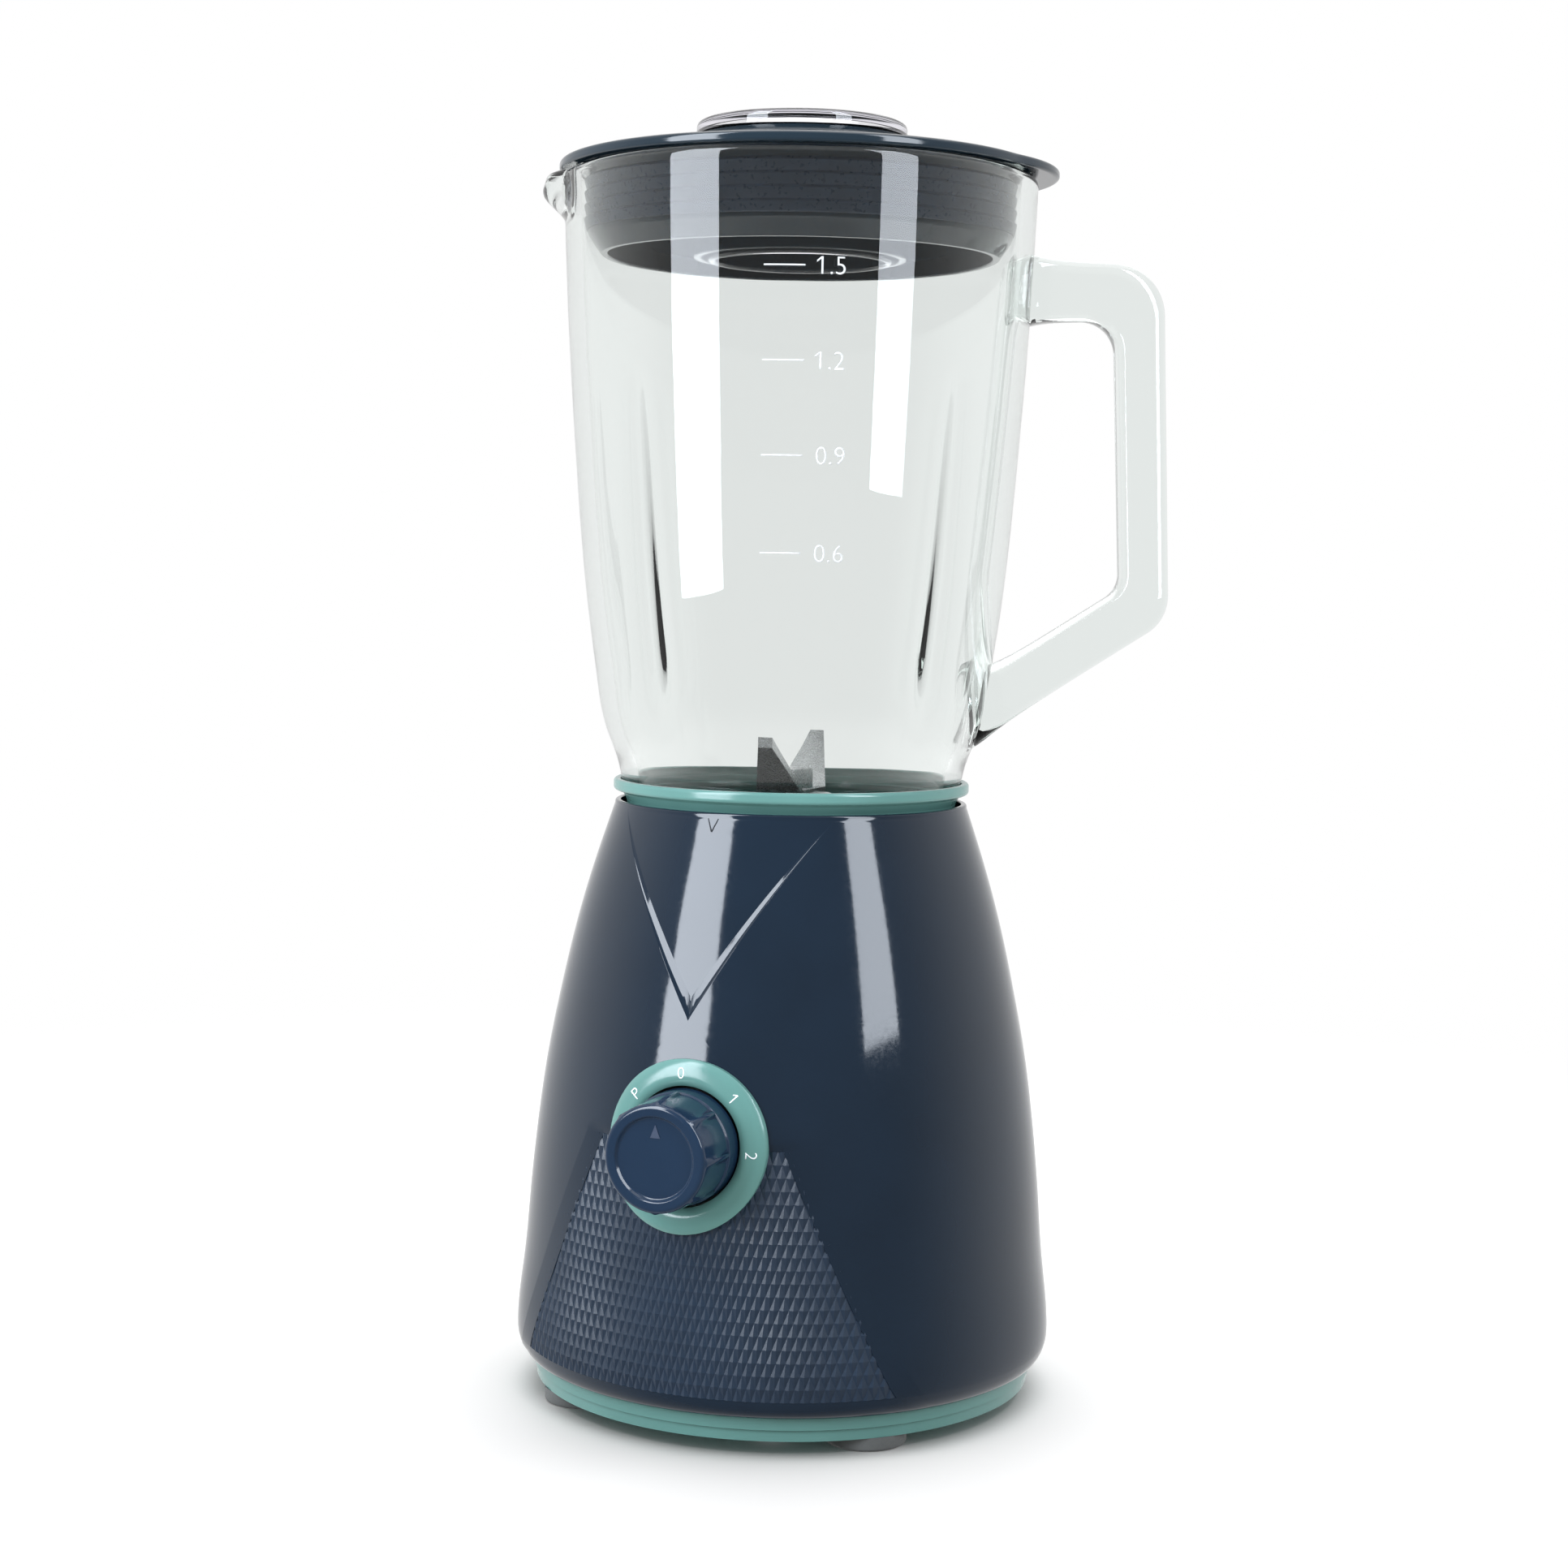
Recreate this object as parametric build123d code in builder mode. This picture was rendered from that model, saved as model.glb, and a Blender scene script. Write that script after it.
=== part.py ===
from build123d import *
import math
import os

os.makedirs("parts", exist_ok=True)

# Countertop blender, in millimetres. +Z is up and the origin is on the drive axis at the table.
# The control knob faces -Y. The jug's handle points along +X turned by jug_turn about +Z.

# Feet and bottom cover
foot_count = 4
foot_radius = 11.6
foot_height = 4.0
foot_inset = 0.4
foot_stud_radius = 4.0
cover_inset = 0.6
cover_rim_height = 7.0
cover_plate_thickness = 3.0
cover_step = 0.8
cover_spigot_wall = 2.4
cover_spigot_height = 4.0
vent_count = 14
vent_length = 22.0
vent_width = 3.4
vent_circle_radius = 30.0
cover_screw_count = 4
cover_screw_radius = 1.9
cover_screw_head_radius = 3.6
cover_screw_head_height = 1.5
cover_screw_length = 18.0

# Motor housing: a flared shell with a deep well on top for the jug collar
housing_height = 166.0
housing_wall = 2.6
housing_edge_radius = 75.8
belly_height = 8.0
belly_swell = 4.5
shoulder_round = 2.0
shoulder_width = 1.4
housing_rim_width = 0.6
post_radius = 5.0
post_inset = 4.4
post_angle = 20.0
post_height = 42.0
post_rib_thickness = 3.0
lug_count = 4
lug_width = 7.5
lug_height = 11.0
lug_depth = 2.6
deck_thickness = 2.5
well_depth = 29.5
deck_lip = 2.0
deck_lip_height = 3.0
# Share of the height from belly to shoulder, and share of the radius that is left there
housing_shape = [(0.135, 0.929), (0.263, 0.8685), (0.391, 0.796), (0.519, 0.697),
                 (0.647, 0.557), (0.776, 0.3905), (0.904, 0.182)]

# Dial, knob and switch
dial_height = 85.6
dial_radius = 24.1
dial_hole_radius = 17.4
dial_proud = 2.2
dial_sleeve_wall = 2.0
dial_sleeve_depth = 10.0
knob_radius = 16.6
knob_rim_radius = 15.0
knob_skirt_length = 6.0
knob_length = 21.5
knob_sink = 2.2
knob_wall = 2.2
knob_recess_radius = 10.8
knob_recess_depth = 1.0
knob_rib_count = 8
knob_rib_width = 2.4
knob_rib_height = 1.1
knob_hub_radius = 6.0
knob_cavity_depth = 14.0
spindle_radius = 3.0
spindle_grip = 12.0
switch_width = 30.0
switch_depth = 19.0
switch_height = 34.0

# Cord gland at the back
gland_height = 31.0
gland_radius = 6.5
gland_bore_radius = 3.4
gland_flange_radius = 9.5
gland_flange_thickness = 3.0
gland_tail = 4.0

# Motor, from the fan upwards
shaft_radius = 4.0
shaft_tail = 2.0
fan_radius = 36.0
fan_depth = 10.0
fan_disc_thickness = 1.5
fan_blade_count = 11
fan_blade_thickness = 1.6
fan_hub_radius = 8.0
fan_to_bracket_gap = 6.0
bearing_radius = 8.0
bearing_length = 12.0
hub_wall = 4.0
bracket_thickness = 4.0
bracket_bar_width = 14.0
commutator_radius = 11.0
commutator_length = 15.7
commutator_gap = 0.8
winding_radius = 15.5
winding_height = 7.0
winding_gap = 0.5
armature_radius = 18.0
armature_slot_count = 12
armature_slot_width = 3.0
armature_slot_depth = 8.0
air_gap = 0.6
stator_length = 74.0
stator_width = 64.0
stator_corner = 8.0
stator_height = 26.0
coil_centre = 24.0
coil_width = 8.0
coil_offset = 22.0
coil_depth = 7.0
coil_rise = 7.0
upper_gap = 16.0
bolt_radius = 2.2
bolt_offset = 32.5
bolt_head_radius = 4.0
bolt_head_height = 3.0
bracket_post_radius = 4.0
arm_circle_radius = 43.0
arm_width = 11.0
arm_count = 4
damper_radius = 6.5
damper_height = 4.0
boss_height = 11.0
bracket_screw_grip = 8.0
brush_width = 6.0
brush_height = 7.0
brush_length = 13.0
brush_gap = 0.1
holder_wall = 1.5
holder_start = 2.5
spring_length = 6.0
spring_radius = 2.6
spring_wall = 0.8

# Couplings between motor and blades
coupling_radius = 17.5
coupling_disc = 4.5
tooth_count = 6
tooth_width = 4.4
tooth_length = 7.0
tooth_height = 5.4
coupling_gap = 0.6
coupling_hub_radius = 8.0
coupling_hub_rise = 4.0
deck_hole_gap = 4.5

# Jug collar, blade carrier and glass
collar_skirt_radius = 50.2
collar_wall = 2.5
collar_seat_height = 18.0
collar_ledge_width = 5.0
collar_ledge_thickness = 3.0
collar_lip = 2.3
collar_rise = 5.5
carrier_thickness = 3.0
carrier_hub_radius = 13.0
carrier_hub_rise = 7.0
seal_height = 3.0
blade_bearing_radius = 7.0
gasket_thickness = 2.5
gasket_width = 5.2
jug_turn = 22.24
jug_height = 189.8
glass_wall = 5.0
jug_neck_height = 7.0
jug_foot_flare = 3.2
jug_rim_radius = 69.9
# Share of the height from foot to rim, and share of the radius gained there
jug_shape = [(0.045, 0.088), (0.096, 0.263), (0.18, 0.4175), (0.292, 0.562), (0.433, 0.696),
             (0.601, 0.8144), (0.77, 0.9124), (0.91, 0.969)]
rib_count = 4
rib_radius = 5.0
rib_depth_low = 3.2
rib_low_height = 24.0
rib_top_height = 111.0
spout_reach = 6.5
spout_radius = 20.0
spout_drop = 9.5
spout_wall = 4.0
handle_depth = 17.0
handle_edge = 4.5
handle_reach = 41.4
handle_bar_width = 14.6
handle_arm_height = 17.0
handle_arm_drop = 23.3
handle_low_drop = 128.2
handle_low_arm = 15.5
handle_slope = 33.0
handle_lean = 2.2
handle_corner = 15.0
handle_corner_low = 12.0
handle_inner_corner = 9.0
handle_inner_corner_low = 7.0

# Blades
blade_shaft_radius = 4.0
blade_washer_radius = 8.0
blade_washer_thickness = 1.9
blade_thickness = 1.5
blade_reach = 31.0
blade_width = 15.0
blade_tip_width = 6.0
blade_flat = 9.0
lower_blade_drop = 3.6
upper_blade_rise = 15.0
nut_width = 12.0
nut_height = 6.0

# Lid, seal and filler cap
lid_overhang = 1.3
lid_edge = 2.8
lid_rise = 8.0
lid_crown_share = 0.38
lid_shoulder_share = 0.2
lid_wall = 2.4
plug_depth = 24.0
plug_gap = 1.3
neck_radius = 29.2
neck_wall = 2.3
tab_reach = 4.8
tab_radius = 51.0
lid_seal_height = 15.0
lid_seal_wall = 0.6
lid_seal_drop = 3.0
lid_seal_rib_count = 4
lid_seal_rib_height = 1.2
cap_rim_radius = 31.06
cap_rim_height = 4.6
cap_wall = 2.2
cap_draft = 1.6
cap_top_thickness = 2.2
cap_depth = 36.1

# Clearances
seat_gap = 0.2
slide_gap = 0.4
screw_gap = 0.1
press_gap = 0.02
running_gap = 0.04

# Heights that follow from the sizes above
cover_z = foot_height
cover_plate_top = cover_z + cover_plate_thickness
housing_z = cover_z + cover_rim_height
housing_top = housing_z + housing_height
belly_z = housing_z + belly_height
shoulder_z = housing_top - shoulder_round
well_radius = collar_skirt_radius + 2 * slide_gap
shoulder_radius = well_radius + housing_rim_width + shoulder_width
belly_radius = housing_edge_radius + belly_swell
mouth_radius = housing_edge_radius - housing_wall
cover_rim_radius = housing_edge_radius - cover_inset
spigot_radius = mouth_radius - slide_gap
post_circle_radius = spigot_radius - cover_spigot_wall - post_inset - post_radius
foot_circle_radius = cover_rim_radius - foot_radius - foot_inset
# The motor hangs from the deck, so its heights are counted downwards
deck_top = housing_top - well_depth
deck_bottom = deck_top - deck_thickness
boss_z = deck_bottom - boss_height
damper_z = boss_z - damper_height
upper_plate_z = damper_z - bracket_thickness
upper_hub_z = upper_plate_z - (bearing_length - bracket_thickness) / 2
upper_hub_top = upper_hub_z + bearing_length
stator_top = upper_plate_z - upper_gap
armature_z = stator_top - stator_height
commutator_top = armature_z - winding_gap - winding_height
commutator_z = commutator_top - commutator_length
lower_hub_top = commutator_z - commutator_gap
lower_hub_z = lower_hub_top - bearing_length
fan_top = lower_hub_z - fan_to_bracket_gap
fan_z = fan_top - fan_depth
deck_hole_radius = coupling_radius + deck_hole_gap
collar_z = deck_top + seat_gap
drive_disc_z = deck_bottom + coupling_gap
drive_disc_top = drive_disc_z + coupling_disc
driven_disc_z = drive_disc_top + tooth_height + coupling_gap
driven_disc_top = driven_disc_z + coupling_disc
ledge_top = collar_z + collar_seat_height
carrier_top = ledge_top + carrier_thickness
carrier_hub_z = driven_disc_top + coupling_gap
carrier_hub_top = carrier_top + carrier_hub_rise
glass_z = carrier_top + gasket_thickness
glass_foot_z = glass_z + jug_neck_height + collar_rise / 2
glass_rim_z = glass_z + jug_height
glass_neck_radius = collar_skirt_radius - collar_wall - slide_gap
glass_neck_inner = glass_neck_radius - glass_wall
jug_foot_radius = glass_neck_radius + jug_foot_flare
collar_neck_top = glass_z + jug_neck_height - slide_gap
collar_top = collar_neck_top + collar_rise
collar_mouth_radius = jug_foot_radius + slide_gap
collar_flange_radius = collar_mouth_radius + collar_lip
lid_z = glass_rim_z + seat_gap
neck_top = lid_z + lid_edge + lid_rise


def housing_radius(height):
    """Outer radius of the housing at a height, by straight steps between the shape's points."""
    points = housing_points(0.0)
    for (low_r, low_z), (high_r, high_z) in zip(points, points[1:]):
        if height <= high_z:
            return low_r + (high_r - low_r) * (height - low_z) / (high_z - low_z)
    return points[-1][0]


def housing_points(inset):
    """Points (radius, height) of the housing's curve from belly to shoulder, set in by inset."""
    gain = belly_radius - shoulder_radius
    rise = shoulder_z - belly_z
    points = [(belly_radius - inset, belly_z)]
    points += [(shoulder_radius + share * gain - inset, belly_z + step * rise) for step, share in housing_shape]
    points.append((shoulder_radius - inset, shoulder_z))
    return points


def jug_points(inset):
    """Points (radius, height) of the glass from foot to rim, set in by inset."""
    gain = jug_rim_radius - jug_foot_radius
    rise = glass_rim_z - glass_foot_z
    points = [(jug_foot_radius - inset, glass_foot_z)]
    points += [(jug_foot_radius + share * gain - inset, glass_foot_z + step * rise) for step, share in jug_shape]
    points.append((jug_rim_radius - inset, glass_rim_z))
    return points


def jug_radius(height):
    """Outer radius of the glass at a height, by straight steps between the shape's points."""
    points = jug_points(0.0)
    for (low_r, low_z), (high_r, high_z) in zip(points, points[1:]):
        if height <= high_z:
            return low_r + (high_r - low_r) * (height - low_z) / (high_z - low_z)
    return points[-1][0]


def end_direction(points):
    """Direction of the last step of a row of points."""
    return (points[-1][0] - points[-2][0], points[-1][1] - points[-2][1])


front_plane = Plane(origin=(0, 0, dial_height), x_dir=(1, 0, 0), z_dir=(0, -1, 0))
gland_plane = Plane(origin=(0, 0, gland_height), x_dir=(-1, 0, 0), z_dir=(0, 1, 0))
jug_east = (math.cos(math.radians(jug_turn)), math.sin(math.radians(jug_turn)), 0)
jug_south = (jug_east[1], -jug_east[0], 0)
jug_plane = Plane(origin=(0, 0, 0), x_dir=jug_east, z_dir=jug_south)
dial_face = housing_radius(dial_height)
dial_sleeve_radius = dial_hole_radius + dial_sleeve_wall
dial_back = dial_face - dial_sleeve_depth
knob_back = dial_face - knob_sink
knob_front = knob_back + knob_length
gland_face = housing_radius(gland_height)

# The housing: outer curve, rim, well, deck and inner curve turned about the drive axis
housing_outer = housing_points(0.0)
housing_inner = housing_points(housing_wall)[:-1]
well_back = well_radius + housing_wall
with BuildPart() as motor_housing:
    with BuildSketch(Plane.XZ):
        with BuildLine():
            Line((mouth_radius, housing_z), (housing_edge_radius, housing_z))
            TangentArc((belly_radius, belly_z), (housing_edge_radius, housing_z), tangent=(0, -1))
            Spline(*housing_outer, tangents=((0, 1), end_direction(housing_outer)))
            TangentArc((shoulder_radius, shoulder_z), (well_radius + housing_rim_width, housing_top),
                       tangent=end_direction(housing_outer))
            Polyline((well_radius + housing_rim_width, housing_top), (well_radius, housing_top),
                     (well_radius, deck_top), (deck_hole_radius + deck_lip, deck_top),
                     (deck_hole_radius + deck_lip, deck_top + deck_lip_height),
                     (deck_hole_radius, deck_top + deck_lip_height), (deck_hole_radius, deck_bottom),
                     (well_back, deck_bottom), (well_back, housing_inner[-1][1]), housing_inner[-1])
            Spline(*housing_inner)
            Line(housing_inner[0], (mouth_radius, housing_z))
        make_face()
    revolve(axis=Axis.Z)
    # Posts for the cover screws, tied to the wall by ribs
    with BuildSketch(Plane.XY.offset(cover_plate_top)):
        with PolarLocations(post_circle_radius, cover_screw_count, start_angle=post_angle):
            Circle(post_radius)
    extrude(amount=post_height)
    rib_reach = housing_radius(cover_plate_top + post_height) - housing_wall / 2
    with BuildSketch(Plane.XY.offset(belly_z)):
        with PolarLocations((post_circle_radius + rib_reach) / 2, cover_screw_count, start_angle=post_angle):
            Rectangle(rib_reach - post_circle_radius, post_rib_thickness)
    extrude(amount=cover_plate_top + post_height - belly_z)
    with BuildSketch(Plane.XY.offset(cover_plate_top)):
        with PolarLocations(post_circle_radius, cover_screw_count, start_angle=post_angle):
            Circle(cover_screw_radius + screw_gap)
    extrude(amount=cover_screw_length, mode=Mode.SUBTRACT)
    # Bosses under the deck for the motor
    with BuildSketch(Plane.XY.offset(boss_z)):
        with PolarLocations(arm_circle_radius, arm_count, start_angle=45):
            Circle(damper_radius)
    extrude(amount=boss_height)
    with BuildSketch(Plane.XY.offset(boss_z)):
        with PolarLocations(arm_circle_radius, arm_count, start_angle=45):
            Circle(bolt_radius + screw_gap)
    extrude(amount=bracket_screw_grip, mode=Mode.SUBTRACT)
    # Lugs in the well that hold the collar against turning
    with BuildSketch(Plane.XY.offset(deck_top)):
        with PolarLocations(well_radius - lug_depth / 2 + housing_wall / 4, lug_count, start_angle=45):
            Rectangle(lug_depth + housing_wall / 2, lug_width)
    extrude(amount=lug_height)
    # Holes for the dial's sleeve and the cord gland
    with BuildSketch(front_plane):
        Circle(dial_sleeve_radius + screw_gap)
    extrude(amount=2 * belly_radius, mode=Mode.SUBTRACT)
    with BuildSketch(gland_plane):
        Circle(gland_radius + screw_gap)
    extrude(amount=2 * belly_radius, mode=Mode.SUBTRACT)
motor_housing.part.label = "motor_housing"
export_step(motor_housing.part, "parts/motor_housing.step")

# Bottom cover: plate, coloured rim, spigot, vents, screw and foot holes
with BuildPart() as bottom_cover:
    with BuildSketch(Plane.XZ):
        with BuildLine():
            Polyline((0, cover_z), (cover_rim_radius - cover_step, cover_z),
                     (cover_rim_radius - cover_step, cover_z + cover_plate_thickness),
                     (cover_rim_radius, cover_z + cover_plate_thickness + cover_step / 2),
                     (cover_rim_radius, housing_z), (spigot_radius, housing_z),
                     (spigot_radius, housing_z + cover_spigot_height),
                     (spigot_radius - cover_spigot_wall, housing_z + cover_spigot_height),
                     (spigot_radius - cover_spigot_wall, cover_plate_top), (0, cover_plate_top), (0, cover_z))
        make_face()
    revolve(axis=Axis.Z)
    with BuildSketch(Plane.XY.offset(cover_z)):
        with PolarLocations(vent_circle_radius, vent_count):
            SlotOverall(vent_length, vent_width)
        with PolarLocations(post_circle_radius, cover_screw_count, start_angle=post_angle):
            Circle(cover_screw_radius + screw_gap)
        with PolarLocations(foot_circle_radius, foot_count, start_angle=45):
            Circle(foot_stud_radius + screw_gap)
    extrude(amount=cover_plate_thickness, mode=Mode.SUBTRACT)
    with BuildSketch(Plane.XY.offset(cover_z)):
        with PolarLocations(post_circle_radius, cover_screw_count, start_angle=post_angle):
            Circle(cover_screw_head_radius + screw_gap)
    extrude(amount=cover_screw_head_height, mode=Mode.SUBTRACT)
bottom_cover.part.label = "bottom_cover"
export_step(bottom_cover.part, "parts/bottom_cover.step")

# Feet: discs with a stud pushed through the cover
with BuildPart() as rubber_feet:
    with BuildSketch(Plane.XY):
        with PolarLocations(foot_circle_radius, foot_count, start_angle=45):
            Circle(foot_radius)
    extrude(amount=foot_height)
    fillet(rubber_feet.edges().group_by(Axis.Z)[0], radius=foot_height / 5)
    with BuildSketch(Plane.XY.offset(foot_height)):
        with PolarLocations(foot_circle_radius, foot_count, start_angle=45):
            Circle(foot_stud_radius)
    extrude(amount=cover_plate_thickness)
rubber_feet.part.label = "rubber_feet"
export_step(rubber_feet.part, "parts/rubber_feet.step")

# Screws that hold the cover to the housing's posts
with BuildPart() as cover_screws:
    with BuildSketch(Plane.XY.offset(cover_z)):
        with PolarLocations(post_circle_radius, cover_screw_count, start_angle=post_angle):
            Circle(cover_screw_head_radius)
    extrude(amount=cover_screw_head_height)
    with BuildSketch(Plane.XY.offset(cover_z)):
        with PolarLocations(post_circle_radius, cover_screw_count, start_angle=post_angle):
            Circle(cover_screw_radius)
    extrude(amount=cover_screw_length)
    with BuildSketch(Plane.XY.offset(cover_z)):
        with PolarLocations(post_circle_radius, cover_screw_count, start_angle=post_angle):
            Rectangle(cover_screw_head_radius, cover_screw_radius / 2)
            Rectangle(cover_screw_radius / 2, cover_screw_head_radius)
    extrude(amount=cover_screw_head_height / 2, mode=Mode.SUBTRACT)
cover_screws.part.label = "cover_screws"
export_step(cover_screws.part, "parts/cover_screws.step")

# The body of revolution that the dial ring and the gland lie on, with their holes
with BuildPart() as housing_seat:
    with BuildSketch(Plane.XZ):
        with BuildLine():
            Spline(*housing_outer, tangents=((0, 1), end_direction(housing_outer)))
            Polyline((shoulder_radius, shoulder_z), (0, shoulder_z), (0, belly_z), (belly_radius, belly_z))
        make_face()
    revolve(axis=Axis.Z)
    with BuildSketch(front_plane):
        Circle(dial_sleeve_radius)
    extrude(amount=2 * belly_radius, mode=Mode.SUBTRACT)
    with BuildSketch(gland_plane):
        Circle(gland_radius)
    extrude(amount=2 * belly_radius, mode=Mode.SUBTRACT)

# Dial ring: a band that follows the housing's curve, with a sleeve through the wall
dial_top = housing_points(-dial_proud)
with BuildPart() as dial_ring:
    with BuildSketch(front_plane.offset(dial_back)):
        Circle(dial_radius)
        Circle(dial_hole_radius, mode=Mode.SUBTRACT)
    extrude(amount=belly_radius)
    with BuildSketch(Plane.XZ):
        with BuildLine():
            Spline(*dial_top, tangents=((0, 1), end_direction(dial_top)))
            Polyline(dial_top[-1], (0, shoulder_z), (0, belly_z), dial_top[0])
        make_face()
    revolve(axis=Axis.Z, mode=Mode.INTERSECT)
    add(housing_seat.part, mode=Mode.SUBTRACT)
dial_ring.part.label = "dial_ring"
export_step(dial_ring.part, "parts/dial_ring.step")

# Control knob: skirt, tapered grip, ribs, recessed face, hub for the spindle
with BuildPart() as control_knob:
    with BuildSketch(front_plane.offset(knob_back)):
        Circle(knob_radius)
    with BuildSketch(front_plane.offset(knob_back + knob_skirt_length)):
        Circle(knob_radius - knob_wall / 3)
    loft()
    with BuildSketch(front_plane.offset(knob_back + knob_skirt_length)):
        Circle(knob_rim_radius + knob_wall / 3)
    with BuildSketch(front_plane.offset(knob_front)):
        Circle(knob_rim_radius)
    loft()
    fillet(control_knob.edges().group_by(Axis.Y)[0], radius=knob_recess_depth)
    with BuildSketch(front_plane.offset(knob_back + knob_skirt_length)):
        with PolarLocations(knob_rim_radius, knob_rib_count, start_angle=22.5):
            Rectangle(2 * knob_rib_height, knob_rib_width)
    extrude(amount=knob_length - knob_skirt_length - 2 * knob_recess_depth)
    with BuildSketch(front_plane.offset(knob_front)):
        Circle(knob_recess_radius)
    extrude(amount=-knob_recess_depth, mode=Mode.SUBTRACT)
    with BuildSketch(front_plane.offset(knob_back)):
        Circle(knob_rim_radius - knob_wall)
        Circle(knob_hub_radius, mode=Mode.SUBTRACT)
    extrude(amount=knob_cavity_depth, mode=Mode.SUBTRACT)
    with BuildSketch(front_plane.offset(knob_back)):
        Circle(spindle_radius + press_gap)
    extrude(amount=spindle_grip, mode=Mode.SUBTRACT)
control_knob.part.label = "control_knob"
export_step(control_knob.part, "parts/control_knob.step")

# Spindle from the switch into the knob
with BuildPart() as switch_spindle:
    with BuildSketch(front_plane.offset(dial_back - switch_depth / 2)):
        Circle(spindle_radius)
    extrude(amount=knob_back + spindle_grip - dial_back + switch_depth / 2)
switch_spindle.part.label = "switch_spindle"
export_step(switch_spindle.part, "parts/switch_spindle.step")

# Rotary switch behind the dial's sleeve
with BuildPart() as switch_body:
    with BuildSketch(front_plane.offset(dial_back)):
        RectangleRounded(switch_width, switch_height, spindle_radius)
    extrude(amount=-switch_depth)
    with BuildSketch(front_plane.offset(dial_back - switch_depth / 2)):
        Circle(spindle_radius + running_gap)
    extrude(amount=switch_depth / 2, mode=Mode.SUBTRACT)
switch_body.part.label = "switch_body"
export_step(switch_body.part, "parts/switch_body.step")

# Cord gland at the back, an open bush
with BuildPart() as cord_gland:
    with BuildSketch(gland_plane.offset(gland_face - housing_wall - gland_tail)):
        Circle(gland_radius)
    extrude(amount=housing_wall + gland_tail)
    with BuildSketch(gland_plane.offset(gland_face - housing_wall)):
        Circle(gland_flange_radius)
    extrude(amount=housing_wall + gland_flange_thickness)
    add(housing_seat.part, mode=Mode.SUBTRACT)
    with BuildSketch(gland_plane.offset(gland_face - housing_wall - gland_tail)):
        Circle(gland_bore_radius)
    extrude(amount=housing_wall + gland_tail + gland_flange_thickness, mode=Mode.SUBTRACT)
cord_gland.part.label = "cord_gland"
export_step(cord_gland.part, "parts/cord_gland.step")

# Upper bracket: hub, arms to the housing's bosses, posts down to the stator
with BuildPart() as upper_bracket:
    with BuildSketch(Plane.XY.offset(upper_plate_z)):
        with PolarLocations(arm_circle_radius / 2, arm_count, start_angle=45):
            Rectangle(arm_circle_radius, arm_width)
        with PolarLocations(arm_circle_radius, arm_count, start_angle=45):
            Circle(damper_radius)
        Rectangle(2 * bolt_offset, arm_width)
        with PolarLocations(bolt_offset, 2):
            Circle(arm_width / 2)
        Circle(bearing_radius + hub_wall)
    extrude(amount=bracket_thickness)
    with BuildSketch(Plane.XY.offset(upper_hub_z)):
        Circle(bearing_radius + hub_wall)
    extrude(amount=bearing_length)
    with BuildSketch(Plane.XY.offset(stator_top)):
        with PolarLocations(bolt_offset, 2):
            Circle(bracket_post_radius)
    extrude(amount=upper_gap)
    with BuildSketch(Plane.XY.offset(stator_top)):
        with PolarLocations(bolt_offset, 2):
            Circle(bolt_radius + screw_gap)
        with PolarLocations(arm_circle_radius, arm_count, start_angle=45):
            Circle(bolt_radius + screw_gap)
        Circle(bearing_radius + press_gap)
    extrude(amount=upper_hub_top - stator_top, mode=Mode.SUBTRACT)
upper_bracket.part.label = "upper_bracket"
export_step(upper_bracket.part, "parts/upper_bracket.step")

# Lower bracket: hub, cross bar for the bolts, bar and pads for the brush holders
holder_width = brush_width + 2 * holder_wall + 2 * slide_gap
holder_height = brush_height + 2 * holder_wall + 2 * slide_gap
brush_z = (commutator_z + commutator_top) / 2
holder_z = brush_z - holder_height / 2
brush_start = commutator_radius + brush_gap
holder_near = commutator_radius + holder_start
holder_far = brush_start + brush_length + spring_length + holder_wall
with BuildPart() as lower_bracket:
    with BuildSketch(Plane.XY.offset(lower_hub_z)):
        Circle(bearing_radius + hub_wall)
    extrude(amount=bearing_length)
    with BuildSketch(Plane.XY.offset(lower_hub_z)):
        Rectangle(2 * bolt_offset, bracket_bar_width)
        Rectangle(bracket_bar_width, 2 * holder_far)
        with PolarLocations(bolt_offset, 2):
            Circle(bracket_bar_width / 2)
    extrude(amount=bracket_thickness)
    with BuildSketch(Plane.XY.offset(lower_hub_z)):
        with PolarLocations(bolt_offset, 2):
            Circle(bracket_post_radius)
    extrude(amount=armature_z - lower_hub_z)
    with BuildSketch(Plane.XY.offset(lower_hub_z)):
        with PolarLocations((holder_near + bearing_radius + holder_far) / 2, 2, start_angle=90):
            Rectangle(holder_far - holder_near - bearing_radius, holder_width)
    extrude(amount=holder_z - lower_hub_z)
    with BuildSketch(Plane.XY.offset(lower_hub_z)):
        with PolarLocations(bolt_offset, 2):
            Circle(bolt_radius + screw_gap)
        Circle(bearing_radius + press_gap)
    extrude(amount=armature_z - lower_hub_z, mode=Mode.SUBTRACT)
lower_bracket.part.label = "lower_bracket"
export_step(lower_bracket.part, "parts/lower_bracket.step")

# Plain sleeve bearings in the two hubs
with BuildPart() as upper_bearing:
    with BuildSketch(Plane.XY.offset(upper_hub_z)):
        Circle(bearing_radius)
        Circle(shaft_radius + running_gap, mode=Mode.SUBTRACT)
    extrude(amount=bearing_length)
upper_bearing.part.label = "upper_bearing"
export_step(upper_bearing.part, "parts/upper_bearing.step")

with BuildPart() as lower_bearing:
    with BuildSketch(Plane.XY.offset(lower_hub_z)):
        Circle(bearing_radius)
        Circle(shaft_radius + running_gap, mode=Mode.SUBTRACT)
    extrude(amount=bearing_length)
lower_bearing.part.label = "lower_bearing"
export_step(lower_bearing.part, "parts/lower_bearing.step")

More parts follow.
